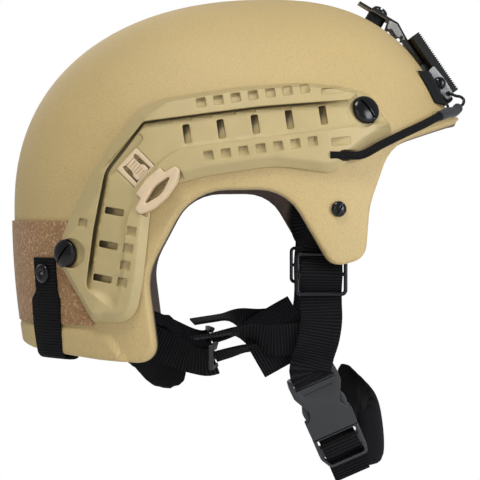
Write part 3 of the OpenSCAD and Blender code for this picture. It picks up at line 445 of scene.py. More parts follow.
def plate(name, outline, thick, bevel=0.4, holes=(), segments=2, low=0.0):
    """A flat plate: an outline in x and y, extruded along z, cut through by its holes and bevelled."""
    def prism(points, z0, z1):
        obj = mesh_object(name, [(p[0], p[1], z0) for p in points], [range(len(points))])
        rise = {"value": (0, 0, (z1 - z0) * MM)}
        return outward(edited(obj, lambda: bpy.ops.mesh.extrude_region_move(TRANSFORM_OT_translate=rise)))

    obj = prism(outline, low, low + thick)
    for hole in holes:
        cut(obj, prism(hole, low - 1, low + thick + 1))
    return ease(obj, bevel, segments) if bevel else obj


def turned(name, profile, steps=48):
    """A turned piece: a profile of (radius, height) spun round z."""
    n = len(profile)
    obj = mesh_object(name, [(r, 0, h) for r, h in profile], [], [(i, i + 1) for i in range(n - 1)])
    about_z = {"angle": 2 * math.pi, "center": (0, 0, 0), "axis": (0, 0, 1)}
    return outward(edited(obj, lambda: bpy.ops.mesh.spin(steps=steps, **about_z)))


def cap_ends():
    """Closes the two open ends of a tube."""
    bpy.ops.mesh.select_all(action="DESELECT")
    bpy.ops.mesh.select_non_manifold()
    bpy.ops.mesh.edge_face_add()


def tube(name, points, diameter, sides=14, closed=False):
    """A round piece along a line of points, with its length and girth as UV in millimetres."""
    pts = [Vector(p) for p in points]
    n = len(pts)
    runs = []
    for i in range(n):
        a = pts[(i - 1) % n] if closed else pts[max(0, i - 1)]
        b = pts[(i + 1) % n] if closed else pts[min(n - 1, i + 1)]
        runs.append((b - a).normalized())
    over = runs[0].orthogonal().normalized()
    lengths, girth = [0.0], math.pi * diameter
    for a, b in zip(pts[:-1], pts[1:]):
        lengths.append(lengths[-1] + (b - a).length)
    deselect()
    rows = n + 1 if closed else n
    bpy.ops.mesh.primitive_grid_add(x_subdivisions=sides, y_subdivisions=rows - 1, size=1, calc_uvs=True)
    obj = bpy.context.object
    obj.name = name
    mesh = obj.data
    frames = []
    for i in range(n):
        over = (over - runs[i] * over.dot(runs[i])).normalized()
        frames.append((over.copy(), runs[i].cross(over)))
    wide = sides + 1
    for k, vert in enumerate(mesh.vertices):
        i, j = divmod(k, wide)
        u, v = frames[i % n]
        t = 2 * math.pi * (j % sides) / sides
        vert.co = (pts[i % n] + (u * math.cos(t) + v * math.sin(t)) * diameter / 2) * MM
    lengths.append(lengths[-1] + (pts[0] - pts[-1]).length)
    uv = mesh.uv_layers[0].data
    for loop in mesh.loops:
        i, j = divmod(loop.vertex_index, wide)
        uv[loop.index].uv = (j / sides * girth, lengths[i])
    return edited(obj, merge, face_out) if closed else edited(obj, merge, cap_ends, face_out)


def smooth_route(points, per):
    """A smooth line through given points, with per steps between two of them."""
    p = [Vector(q) for q in points]
    out = []
    for i in range(len(p) - 1):
        a, b, c, d = p[max(0, i - 1)], p[i], p[i + 1], p[min(len(p) - 1, i + 2)]
        for k in range(per):
            t = k / per
            bend, twist = 2 * a - 5 * b + 4 * c - d, 3 * b - a - 3 * c + d
            out.append(0.5 * (2 * b + (c - a) * t + bend * t * t + twist * t ** 3))
    return out + [p[-1]]


def strip(name, grid, thick, bevel=0.35):
    """Cloth from a grid of places on its middle plane, with its width and length as UV in millimetres."""
    rows, cols = len(grid), len(grid[0])
    deselect()
    bpy.ops.mesh.primitive_grid_add(x_subdivisions=cols - 1, y_subdivisions=rows - 1, size=1, calc_uvs=True)
    obj = bpy.context.object
    obj.name = name
    mesh = obj.data
    across = [0.0]
    for j in range(cols - 1):
        across.append(across[-1] + (Vector(grid[0][j + 1]) - Vector(grid[0][j])).length)
    down = [0.0]
    mid = cols // 2
    for i in range(rows - 1):
        down.append(down[-1] + (Vector(grid[i + 1][mid]) - Vector(grid[i][mid])).length)
    for k, vert in enumerate(mesh.vertices):
        i, j = divmod(k, cols)
        vert.co = Vector(grid[i][j]) * MM
    uv = mesh.uv_layers[0].data
    for loop in mesh.loops:
        i, j = divmod(loop.vertex_index, cols)
        uv[loop.index].uv = (across[j], down[i])
    modify(obj, "SOLIDIFY", thickness=thick * MM, offset=0)
    outward(obj)
    if bevel:
        modify(obj, "BEVEL", width=bevel * MM, segments=2, limit_method="ANGLE", angle_limit=math.radians(50))
    return obj


def webbing(name, rows, width, per=4, cols=7):
    """A webbing strap through rows of (centre, width direction)."""
    centres = smooth_route([r[0] for r in rows], per)
    sides = smooth_route([r[1] for r in rows], per)
    n = len(centres)
    grid = []
    for i in range(n):
        run = (centres[min(n - 1, i + 1)] - centres[max(0, i - 1)]).normalized()
        side = (sides[i] - run * run.dot(sides[i])).normalized()
        grid.append([centres[i] + side * (2 * j / (cols - 1) - 1) * width / 2 for j in range(cols)])
    return strip(name, grid, sizes().webbing_thickness)


# Finishes: each material is built from a few nodes, with its pattern in real millimetres
def supply(tree, socket, value):
    """Links a node's output to the input, or gives the input its value."""
    if isinstance(value, bpy.types.NodeSocket):
        tree.links.new(value, socket)
    else:
        socket.default_value = value


def add(tree, kind, into=(), **values):
    """Adds a shader node, sets its values and feeds its inputs, given as {input: number or socket}."""
    node = tree.nodes.new(kind)
    for key, value in values.items():
        setattr(node, key, value)
    for key, value in dict(into).items():
        supply(tree, node.inputs[key], value)
    return node


def maths(tree, operation, *inputs):
    """A calculation on numbers or sockets."""
    return add(tree, "ShaderNodeMath", dict(enumerate(inputs)), operation=operation).outputs[0]


def started(label):
    """A new material with its nodes and its shader."""
    material = bpy.data.materials.new(label)
    material.use_nodes = True
    tree = material.node_tree
    return material, tree, tree.nodes["Principled BSDF"]


def where(tree, uv=False):
    """Places on the piece in millimetres: its own coordinates, or its cloth's width and length."""
    source = add(tree, "ShaderNodeTexCoord").outputs["UV" if uv else "Object"]
    grow = 1.0 if uv else 1000.0
    return add(tree, "ShaderNodeVectorMath", {0: source, 1: (grow, grow, grow)}, operation="MULTIPLY").outputs[0]


def grain(tree, spot, size, detail=2.0, rough=0.5):
    """Noise whose lumps are about size millimetres across."""
    into = {"Vector": spot, "Scale": 1 / size, "Detail": detail, "Roughness": rough}
    return add(tree, "ShaderNodeTexNoise", into).outputs["Fac"]


def ramp(tree, fac, low, high, low_to=0.0, high_to=1.0):
    """Stretches low..high to low_to..high_to."""
    into = {"Value": fac, "From Min": low, "From Max": high, "To Min": low_to, "To Max": high_to}
    return add(tree, "ShaderNodeMapRange", into).outputs["Result"]


def blend_colour(tree, fac, a, b):
    """Colour a where fac is 0 and b where it is 1."""
    mix = add(tree, "ShaderNodeMix", {"Factor": fac}, data_type="RGBA")
    for key, value in (("A", a), ("B", b)):
        supply(tree, [s for s in mix.inputs if s.name == key and s.type == "RGBA"][0], value)
    return [s for s in mix.outputs if s.type == "RGBA"][0]


def shade(code, k):
    """The colour with its numbers times k."""
    return tuple(min(1.0, c * k) for c in code[:3]) + (1,)


def raised(tree, height, depth, strength=1.0, under=None):
    """A bump of depth millimetres."""
    into = {"Height": height, "Distance": depth * MM, "Strength": strength}
    if under is not None:
        into["Normal"] = under
    return add(tree, "ShaderNodeBump", into).outputs["Normal"]


SOCKETS = {"colour": "Base Color", "rough": "Roughness", "metal": "Metallic", "normal": "Normal",
           "sheen": "Sheen Weight", "shine": "Specular IOR Level"}


def feed(tree, bsdf, **sockets):
    """Sets or links the shader's inputs, by the short names above."""
    for key, value in sockets.items():
        supply(tree, bsdf.inputs[SOCKETS[key]], value)


def make_paint():
    """Gritty sand-filled coating over the laminate, with the bare dark laminate inside."""
    material, tree, bsdf = started("Gritty tan coating")
    spot = where(tree)
    grit = grain(tree, spot, 0.75, 3.0, 0.6)
    coarse = grain(tree, spot, 1.9, 2.0, 0.55)
    cloudy = grain(tree, spot, 55, 2.0)
    base = tint("paint")
    tone = blend_colour(tree, ramp(tree, cloudy, 0.3, 0.7), shade(base, 0.97), shade(base, 1.03))
    tone = blend_colour(tree, ramp(tree, grit, 0.3, 0.46, 0.75, 0.0), tone, shade(base, 0.62))
    tone = blend_colour(tree, ramp(tree, grit, 0.58, 0.72, 0.0, 0.55), tone, shade(base, 1.22))
    weave = add(tree, "ShaderNodeTexVoronoi", {"Vector": spot, "Scale": 1 / 6.0}).outputs["Distance"]
    bare = blend_colour(tree, ramp(tree, weave, 0.1, 0.7), shade(tint("lining"), 0.8), shade(tint("lining"), 1.15))
    inner = add(tree, "ShaderNodeAttribute", attribute_name="lining").outputs["Fac"]
    side = ramp(tree, inner, 0.45, 0.9)
    lumps = raised(tree, coarse, 0.22, 0.6)
    grits = raised(tree, grit, 0.17, 0.9, lumps)
    tone = blend_colour(tree, side, tone, bare)
    feed(tree, bsdf, colour=tone, rough=ramp(tree, grit, 0.2, 0.8, 0.5, 0.75), normal=grits)
    return material


def make_moulded(label, code, size=0.35, depth=0.02, rough=0.42, speck=0.05):
    """Injection-moulded plastic with a fine spark-eroded grain."""
    material, tree, bsdf = started(label)
    spot = where(tree)
    fine = grain(tree, spot, size, 2.0)
    broad = grain(tree, spot, 18, 2.0)
    tone = blend_colour(tree, ramp(tree, broad, 0.3, 0.7), shade(code, 1 - speck), shade(code, 1 + speck))
    tone = blend_colour(tree, ramp(tree, fine, 0.35, 0.65, 0.25, 0.0), tone, shade(code, 0.85))
    dull = ramp(tree, broad, 0.3, 0.7, rough, rough + 0.1)
    feed(tree, bsdf, colour=tone, rough=dull, normal=raised(tree, fine, depth, 0.6))
    return material, tree, bsdf


def make_rail():
    """Glass-filled nylon in the shell's tan, with painted shade in its slots, its groove and cord hole, and on the
    walls of its cells that face away from the light.
    """
    material, tree, bsdf = make_moulded("Tan nylon", tint("rail"), 0.4, 0.03, 0.46)
    hollow = add(tree, "ShaderNodeAttribute", attribute_name="hollow").outputs["Fac"]
    tone = bsdf.inputs["Base Color"].links[0].from_socket
    # Near-black where the mesh's shade value is high: painted shade in the rail's hollows, not a colour of the nylon.
    feed(tree, bsdf, colour=blend_colour(tree, ramp(tree, hollow, 0.2, 1.0), tone, shade(tint("rail"), 0.22)))
    return material


def make_loop():
    """Loop side of a touch fastener: thousands of fine nylon loops."""
    material, tree, bsdf = started("Brown loop fabric")
    spot = where(tree)
    tufts = add(tree, "ShaderNodeTexVoronoi", {"Vector": spot, "Scale": 1 / 1.3}).outputs["Distance"]
    threads = grain(tree, spot, 0.5, 3.0, 0.7)
    patches = grain(tree, spot, 9, 3.0)
    base = tint("loop")
    tone = blend_colour(tree, ramp(tree, patches, 0.3, 0.7), shade(base, 0.9), shade(base, 1.08))
    tone = blend_colour(tree, ramp(tree, tufts, 0.15, 0.7, 0.0, 0.55), tone, shade(base, 0.5))
    flecks = grain(tree, spot, 1.9, 2.0, 0.6)
    tone = blend_colour(tree, ramp(tree, threads, 0.55, 0.75, 0.0, 0.45), tone, shade(base, 1.5))
    tone = blend_colour(tree, ramp(tree, flecks, 0.54, 0.7, 0.0, 0.6), tone, tint("clip"))
    tone = blend_colour(tree, ramp(tree, flecks, 0.44, 0.3, 0.0, 0.5), tone, shade(base, 0.55))
    under = raised(tree, tufts, 0.35, 0.8)
    feed(tree, bsdf, colour=tone, rough=0.95, sheen=0.12, shine=0.2, normal=raised(tree, threads, 0.3, 0.8, under))
    return material


RIB_PITCH, ROW_W, ROW_SLANT = 1.9, 2.4, 0.05
STRANDS, STRAND_PITCH = 8, 3.0


def make_webbing():
    """Woven nylon webbing: ribs across its width, in herringbone rows along its length."""
    material, tree, bsdf = started("Black webbing")
    spot = where(tree, uv=True)
    parts = add(tree, "ShaderNodeSeparateXYZ", {0: spot})
    rows = maths(tree, "PINGPONG", parts.outputs["X"], ROW_W)
    slant = maths(tree, "MULTIPLY_ADD", rows, ROW_SLANT, parts.outputs["Y"])
    ribs = maths(tree, "SINE", maths(tree, "MULTIPLY", slant, 2 * math.pi / RIB_PITCH))
    fuzz = grain(tree, spot, 0.3, 3.0, 0.7)
    base = tint("webbing")
    tone = blend_colour(tree, ramp(tree, ribs, -0.2, 0.95), shade(base, 0.5), shade(base, 2.6))
    tone = blend_colour(tree, ramp(tree, fuzz, 0.6, 0.8, 0.0, 0.3), tone, shade(base, 3.2))
    under = raised(tree, ribs, 0.2, 0.9)
    feed(tree, bsdf, colour=tone, rough=0.85, shine=0.12, normal=raised(tree, fuzz, 0.08, 0.5, under))
    return material


def make_knit():
    """Brushed knit over foam."""
    material, tree, bsdf = started("Dark brushed knit")
    spot = where(tree)
    loops = add(tree, "ShaderNodeTexVoronoi", {"Vector": spot, "Scale": 1 / 1.1}).outputs["Distance"]
    nap = grain(tree, spot, 0.5, 3.0, 0.7)
    worn = grain(tree, spot, 22, 2.0)
    base = tint("pads")
    tone = blend_colour(tree, ramp(tree, worn, 0.3, 0.7), shade(base, 0.8), shade(base, 1.25))
    tone = blend_colour(tree, ramp(tree, loops, 0.1, 0.8, 0.0, 0.5), tone, shade(base, 0.45))
    tone = blend_colour(tree, ramp(tree, nap, 0.58, 0.75, 0.0, 0.4), tone, shade(base, 2.4))
    under = raised(tree, loops, 0.18, 0.7)
    feed(tree, bsdf, colour=tone, rough=0.95, sheen=0.01, shine=0.1, normal=raised(tree, nap, 0.15, 0.7, under))
    return material


def make_metal(label, code, metal, rough, streak=0.05, depth=0.01):
    """Steel with its coating, and the faint marks of tumbling and handling."""
    material, tree, bsdf = started(label)
    spot = where(tree)
    marks = grain(tree, spot, 0.5, 4.0, 0.65)
    broad = grain(tree, spot, 5, 2.0)
    tone = blend_colour(tree, ramp(tree, broad, 0.3, 0.7), shade(code, 1 - 2 * streak), shade(code, 1 + 2 * streak))
    dull = ramp(tree, broad, 0.3, 0.7, rough, rough + 0.1)
    feed(tree, bsdf, colour=tone, metal=metal, rough=dull, normal=raised(tree, marks, depth, 0.5))
    return material


def make_rubber():
    """Matt black rubber with a dusty bloom."""
    material, tree, bsdf = started("Black rubber")
    spot = where(tree)
    fine = grain(tree, spot, 0.7, 3.0)
    bloom = grain(tree, spot, 14, 3.0)
    base = tint("steel")
    tone = blend_colour(tree, ramp(tree, bloom, 0.35, 0.7), shade(base, 0.7), shade(base, 1.3))
    feed(tree, bsdf, colour=tone, rough=0.7, shine=0.2, normal=raised(tree, fine, 0.05, 0.6))
    return material


def make_cord():
    """Braided sheath of a stretch cord: two sets of strands that cross."""
    material, tree, bsdf = started("Black stretch cord")
    spot = where(tree, uv=True)
    parts = add(tree, "ShaderNodeSeparateXYZ", {0: spot})
    girth = math.pi * sizes().cord_diameter
    waves = []
    for way in (1, -1):
        slant = maths(tree, "MULTIPLY", parts.outputs["X"], way * 2 * math.pi * STRANDS / girth)
        turn = maths(tree, "MULTIPLY_ADD", parts.outputs["Y"], 2 * math.pi / STRAND_PITCH, slant)
        waves.append(maths(tree, "SINE", turn))
    braid = maths(tree, "MAXIMUM", *waves)
    base = tint("webbing")
    tone = blend_colour(tree, ramp(tree, braid, -0.4, 1.0), shade(base, 0.4), shade(base, 1.5))
    feed(tree, bsdf, colour=tone, rough=0.75, shine=0.15, normal=raised(tree, braid, 0.3, 0.9))
    return material


MAKERS = {
    "paint": make_paint,
    "rail": make_rail,
    "clip": lambda: make_moulded("Beige acetal", tint("clip"), 0.5, 0.015, 0.36)[0],
    "loop": make_loop,
    "webbing": make_webbing,
    "knit": make_knit,
    "dark_plastic": lambda: make_moulded("Black nylon", tint("webbing"), 0.4, 0.02, 0.4)[0],
    "plastic": lambda: make_moulded("Black acetal", tint("plastic"), 0.4, 0.02, 0.34)[0],
    "screw": lambda: make_metal("Black screw steel", tint("steel"), 0.35, 0.16),
    "black_steel": lambda: make_metal("Black bracket steel", tint("steel"), 0.25, 0.36, depth=0.02),
    "wire": lambda: make_metal("Black-coated wire", tint("plastic"), 0.6, 0.26, depth=0.01),
    # A grey that stands in for painted reflection on black steel.
    "coated_steel": lambda: make_metal("Grey-coated steel", tint("coated"), 0.1, 0.55, depth=0.01),
    "plated": lambda: make_metal("Plated steel", tint("plated"), 0.9, 0.28),
    "rubber": make_rubber,
    "cord": make_cord,
    "sleeve": lambda: make_moulded("Shrink tube", tint("sleeve"), 1.2, 0.05, 0.38)[0],
}
made = {}


def finish(name):
    """The finish of that name, made once."""
    if name not in made:
        made[name] = MAKERS[name]()
    return made[name]


# The shell
MAP_SCALE = 0.45


def bearing_of(y, z):
    """The bearing on the left side where the painted face has this y at this level."""
    lo, hi = -90.0, 90.0
    for _ in range(40):
        mid = (lo + hi) / 2
        if dome(mid, z, 0)[1] < y:
            lo = mid
        else:
            hi = mid
    return (lo + hi) / 2


def rim_loop(shift, pitch=2.0):
    """The trim line, drawn in by shift, as bearings and levels all round the shell."""
    line = paced(rounded(TRIM, closed=False), pitch)
    if shift:
        line = offset(line, shift, closed=False)
    half = []
    for y, z in line:
        a = bearing_of(y, z)
        if -89.9 < a < 89.9:
            half.append((a, z))
    half = np.array(half)
    half = np.vstack([[-90, half[0, 1]], half, [90, half[-1, 1]]])
    steps = [half[0]]
    for a, b in zip(half[:-1], half[1:]):
        n = max(1, int(abs(b[0] - a[0]) // 1.2))
        steps += [a + (b - a) * k / n for k in range(1, n + 1)]
    half = np.array(steps)
    other = half[1:-1][::-1].copy()
    other[:, 0] = 180 - other[:, 0]
    return np.vstack([half, other])


def skinned(name, top, under, tris, label, values):
    """A closed skin from an upper and a lower sheet of the same triangles, with a value at each point."""
    n = len(top)
    sides = dict.fromkeys((int(t[i]), int(t[(i + 1) % 3])) for t in tris for i in range(3))
    faces = [tuple(t) for t in tris] + [(t[0] + n, t[2] + n, t[1] + n) for t in tris]
    faces += [(b, a, a + n, b + n) for a, b in sides if (b, a) not in sides]
    obj = mesh_object(name, np.vstack([top, under]), faces)
    layer = obj.data.attributes.new(label, "FLOAT", "POINT")
    layer.data.foreach_set("value", np.concatenate(values).astype(np.float32))
    return edited(obj, bpy.ops.mesh.delete_loose, face_out)


def staggered(xs, ys, pitch):
    """A grid of points over two ranges, with every other row moved by half a step."""
    gx, gy = np.meshgrid(np.arange(*xs, pitch), np.arange(*ys, pitch))
    gx = gx + (np.arange(len(gx))[:, None] % 2) * pitch / 2
    return np.stack([gx.ravel(), gy.ravel()], -1)


def filled(verts, edges, border, near):
    """The triangles between points within a border, and which given points each point comes from."""
    out = delaunay_2d_cdt(verts, edges, [], 0, near)
    pts, tris = np.array([tuple(v) for v in out[0]]), np.array(out[2])
    return pts, tris[inside(border, pts[tris].mean(1))], out[3]


def flat_map(az):
    """Bearings and levels to a flat map round the crown."""
    a, z = az[:, 0], az[:, 1]
    over = np.degrees(np.arccos(np.clip((z - BELT_Z) / sizes().rise, -1, 1)))
    rho = np.where(z > BELT_Z, over, 90 + (BELT_Z - z) * MAP_SCALE)
    return np.stack([rho * np.cos(np.radians(a)), rho * np.sin(np.radians(a))], -1)


def flat_back(p):
    """Places on the flat map back to bearings and levels."""
    rho = np.hypot(p[:, 0], p[:, 1])
    over = BELT_Z + sizes().rise * np.cos(np.radians(np.minimum(rho, 90)))
    return np.degrees(np.arctan2(p[:, 1], p[:, 0])), np.where(rho < 90, over, BELT_Z - (rho - 90) / MAP_SCALE)


SHELL_REACH, SHELL_PITCH = 136, 1.35
RAIL_BORE, CHEEK_BORE = 6.6, 5.6
BROW_CREASE = [(-150, -39.5), (-130, -41.8), (-108.5, -46.2), (-88, -53.5)]
SKIRT_CREASE = [(175, -178), (118, -179.8), (98, -180.8), (86, -182), (78, -185), (66, -204)]


def smooth_step(t):
    return t * t * (3 - 2 * t)


def skirt_flare(y, z):
    """How far the skirt stands out below its crease at the back, and the brim below the brow's crease."""
    line = np.array(SKIRT_CREASE[::-1], float)
    below = np.interp(y, line[:, 0], line[:, 1], left=-400) - z
    skirt = 2.0 * smooth_step(np.clip(below / 3.4, 0, 1))
    skirt = skirt * np.clip((y - 62) / 5, 0, 1) * np.clip((158 - y) / 30, 0, 1)
    below = np.interp(y, [q[0] for q in BROW_CREASE], [q[1] for q in BROW_CREASE]) - z
    return skirt + 0.9 * smooth_step(np.clip(below / 2.2, 0, 1)) * np.clip((-y - 88) / 8, 0, 1)


def build_shell():
    """The laminate body, with its rim rounded in steps and the bores for its screws."""
    r, wall, rise = sizes().edge_round, sizes().wall, sizes().rise
    verts, edges, drops, loops = [], [], [], []
    for t in map(math.radians, (90, 67.5, 45, 22.5, 0)):
        loop = flat_map(rim_loop(r * (1 - math.sin(t))))
        base, count = len(verts), len(loop)
        verts += [Vector(p) for p in loop]
        drops += [-r * (1 - math.cos(t))] * count
        edges += [(base + i, base + (i + 1) % count) for i in range(count)]
        loops.append(loop)
    cloud = staggered((-135, SHELL_REACH), (-135, SHELL_REACH), SHELL_PITCH)
    cloud = cloud[np.hypot(cloud[:, 0], cloud[:, 1]) < SHELL_REACH]
    cloud = cloud[inside(loops[-1], cloud)]
    cloud = cloud[distance(loops[-1], cloud) > 0.7]
    verts += [Vector(p) for p in cloud]
    drops += [0.0] * len(cloud)
    pts, tris, source = filled(verts, edges, loops[0], 1e-6)
    drop = np.array([drops[s[0]] if s else 0.0 for s in source])
    a, z = flat_back(pts)
    outer = dome(a, z, drop)
    inner_z = np.where(z > BELT_Z, BELT_Z + (z - BELT_Z) * (rise - wall) / rise, z)
    inner = dome(a, inner_z, -wall - drop * 0.6)
    away = np.stack([np.cos(np.radians(a)), np.sin(np.radians(a)), np.zeros_like(a)], -1)
    flare = skirt_flare(outer[:, 1], z)[:, None] * away
    n = len(pts)
    obj = skinned("shell_body", outer + flare, inner + flare, tris, "lining", [np.zeros(n), np.ones(n)])
    for p, bore in ((SCREW_FRONT, RAIL_BORE), (SCREW_REAR, RAIL_BORE), (CHEEK_SCREW, CHEEK_BORE)):
        for side in (LEFT, RIGHT):
            deselect()
            bpy.ops.mesh.primitive_cylinder_add(vertices=32, radius=bore / 2 * MM, depth=30 * MM)
            drill = place(settle(bpy.context.object), side_frame(p, -4))
            cut(obj, to_right(drill) if side == RIGHT else drill)
    return finished(obj, "shell", "body", "paint", smooth=40)


LOOP_TOP, LOOP_HEIGHT, LOOP_LIFT, LOOP_T = -115.5, 63.5, 0.95, 1.3


def build_loop_panel():
    """Loop fabric round the back: a sheet that follows the shell, with a slightly uneven cut edge."""
    edge = np.array([(103.5, LOOP_TOP), (105.5, -128), (108.5, -141), (87.5, -178)])
    cols, rows = 150, 36
    grid = []
    for i in range(rows):
        z = LOOP_TOP - LOOP_HEIGHT * i / (rows - 1)
        y = np.interp(-z, -edge[:, 1], edge[:, 0])
        a0 = bearing_of(y, z)
        line = []
        for j in range(cols):
            a = a0 + (180 - 2 * a0) * j / (cols - 1)
            fray = 0.5 * noise.noise(Vector((j * 0.35, i * 0.4, 3))) if i in (0, rows - 1) else 0
            line.append(Vector(dome(a, z + fray, LOOP_LIFT)))
        grid.append(line)
    obj = strip("loop_fabric", grid, LOOP_T, bevel=0.3)
    return finished(obj, "loop_panel", "fabric", "loop", name="loop_fabric")


# The rails
def clip_frame():
    """Where the clip lies on the left rail: origin, run, width and outward direction in millimetres."""
    n = side_normal(54, -91)
    run = Vector((0, -0.735, -0.678)).normalized()
    run = (run - n * run.dot(n)).normalized()
    return side_point(67.8, -77.8, 5) + Vector((0.4, 0, 0)), run, n.cross(run), n


RING = [(19.8, -10.6, 1), (18.4, 0, 16), (19.8, 10.6, 1), (24, 10.6, 1), (26, 17.5, 1.5), (30, 18.2, 2),
        (33.8, 11, 8), (35.4, 0, 16), (33.8, -11, 8), (30, -18.2, 2), (26, -17.5, 1.5), (24, -10.6, 1)]


def clip_outline_in_side_view(points):
    o, run, wide, _ = clip_frame()
    return np.array([(o + run * p[0] + wide * p[1]).yz for p in points])


def pocket_x(y, z, depth):
    """Where the pocket's flat floor lies, as x, at places of the side view."""
    o, _, _, n = clip_frame()
    return (n.dot(o) + depth - n.y * y - n.z * z) / n.x


CHANNEL_HIGH = rounded([(-70, -42.5, 0), (-11.7, -47.2, 60), (58, -55.8, 4), (81, -85, 20), (88, -120, 60),
                        (93.6, -160, 0)], closed=False)
CHANNEL_LOW = rounded([(74, -171, 0), (70, -146, 30), (69, -124, 40), (67, -111, 20), (48, -80, 20), (36, -72, 20),
                       (20, -70, 40), (-48, -61.4, 40), (-104, -54, 0)], closed=False)
HIGH_EDGE = rounded([(-88, -53, 0), (-78.5, -38.5, 3), (-60, -34, 30), (-38, -32.3, 40), (0, -35, 60),
                     (45, -41.5, 40), (61, -48, 6), (88, -84.5, 6), (104, -115, 40), (112.5, -137, 6),
                     (89, -176.5, 0)], closed=False)
LOW_EDGE = rounded([(89, -176.5, 0), (63, -177, 14), (58, -152, 30), (52.8, -103, 12), (38, -93, 16), (20, -88.5, 30),
                    (-21, -82.3, 60), (-56, -87, 16), (-75, -71, 30), (-92.5, -60.3, 0)], closed=False)


RAIL_PITCH, RAIL_CLOUD = 1.1, 1.6
TOP_RUN, REAR_RUN = 180 - RUN_TILT, RUN_TILT + 92.5
SLOT, SLOT_PITCH, SLOT_FLOOR = (4.2, 11.5, 1.0), 20.5, 0.7
CELL, CELL_PITCH, CELL_DEPTH = (5.8, 5.8), 10.4, 2.2
GROOVE_DEPTH, POCKET_FLOOR, TROUGH_FLOOR = 2.6, -2.5, -4.0
POCKET_HEAD = [(-7.2, -16.4, 0.5), (-0.6, -16.4, 2.4), (0.2, -12, 1.5), (0.6, -9.1, 0), (26, -9.1, 0)]
RAMPS = [(bar((-55.4, -37.5), 176, 14, 3.9, 0.8), (-49.6, -37.9), (-62.4, -37.0)),
         (bar((-59.8, -67.9), 172, 12, 4.6, 0.8), (-54.6, -68.6), (-65.8, -67.1))]


def led_round(outline, c, radius):
    """The outline, with an arc round c where that circle reaches out of it."""
    circled = circle(c, radius, 64)
    out_part = circled[~inside(outline, circled)]
    if len(out_part) == 0:
        return outline
    keep = np.hypot(*(outline - c).T) >= radius
    start = int(np.argmax(~keep & np.roll(keep, 1)))
    order = np.roll(np.arange(len(outline)), -start)
    rest = outline[order[int(np.argmax(keep[order])):]]
    a0, a1 = (math.atan2(p[1] - c[1], p[0] - c[0]) for p in (rest[-1], rest[0]))
    arcs = []
    for way in (1, -1):
        sweep = (a1 - a0) * way % (2 * math.pi)
        turns = a0 + way * sweep * np.linspace(0.05, 0.95, max(3, int(sweep * radius / RAIL_PITCH)))
        arcs.append(np.array([(c[0] + radius * math.cos(t), c[1] + radius * math.sin(t)) for t in turns]))
    middle = out_part.mean(0)
    return np.vstack([rest, min(arcs, key=lambda arc: np.hypot(*(arc.mean(0) - middle)))])


def in_a_row(start, turn, pitch, places, size):
    """Rounded rectangles at multiples of the pitch from a start."""
    return [bar(along(start, turn, i * pitch), turn, *size) for i in places]


def eased(inner, soft=0.45, steep=0.12):
    """0 outside a feature and 1 in it, with a round-over on the rim and a steep wall."""
    t = np.clip((inner + soft) / soft, 0, 1)
    rim = 0.22 * (1 - np.sqrt(np.maximum(0, 1 - t ** 2)))
    w = np.clip(inner / steep, 0, 1)
    return np.where(inner <= 0, rim, 0.22 + 0.78 * np.sqrt(w * (2 - w)))


def bevelled(reach, width, low, high, soft):
    """Height of a bar that rises from low at its edge to high over a bevel, with a soft upper corner."""
    rise = low + (high - low) * reach / width
    gap = (rise - high) / soft
    return high + soft * np.where(gap > 1, 0, np.where(gap < -1, gap, -((1 - gap) ** 2) / 4))


def groove_reach(y):
    """Half the width of the groove under the upper bar, which is wider at the rear."""
    return 1.1 + 1.2 * np.clip((y - 50) / 20, 0, 1)


def bars_height(p, channel):
    """Height of the two bars and the channel between them, and how deep in the groove each point is."""
    y, z = p[:, 0], p[:, 1]
    top = sizes().bar_height
    to_low, to_high = distance(LOW_EDGE, p, closed=False), distance(HIGH_EDGE, p, closed=False)
    corner = np.clip((y - 44) / 16, 0, 1) * np.clip((z + 132) / 22, 0, 1)
    low_bar = bevelled(to_low, 5.4, 1.9, top - 1.3, 0.8)
    high_bar = bevelled(to_high, 2.6 + 5.6 * corner, 1.6, top + 0.3, 0.7)
    nearer = np.clip((to_low - to_high) / 6 + 0.5, 0, 1)
    d = low_bar + (high_bar - low_bar) * nearer
    d = np.minimum(d, np.minimum(bevelled(to_low, 5.4, 1.9, top + 0.3, 0.8), high_bar))
    low_side = distance(CHANNEL_LOW, p, closed=False)
    within = depth_in(channel, p)
    in_channel = np.where(low_side < within + 0.8, np.clip(within / 1.8 + 0.3, 0, 1) ** 0.7, eased(within, 0.4))
    tail = np.clip((-156 - z) / 4, 0, 1)
    in_channel = in_channel + tail * (np.clip(within / 5.5, 0, 1) - in_channel)
    d = d + in_channel * (np.minimum(d, sizes().channel_height) - d)
    groove = distance(CHANNEL_HIGH, p, closed=False)
    fade = np.clip((y + 66) / 22, 0, 1) * np.clip((z + 158) / 16, 0, 1)
    slit = np.where(within > 0.02, np.clip((groove_reach(y) - groove) / 0.3 + 0.5, 0, 1), 0) * fade
    return d - GROOVE_DEPTH * slit, slit


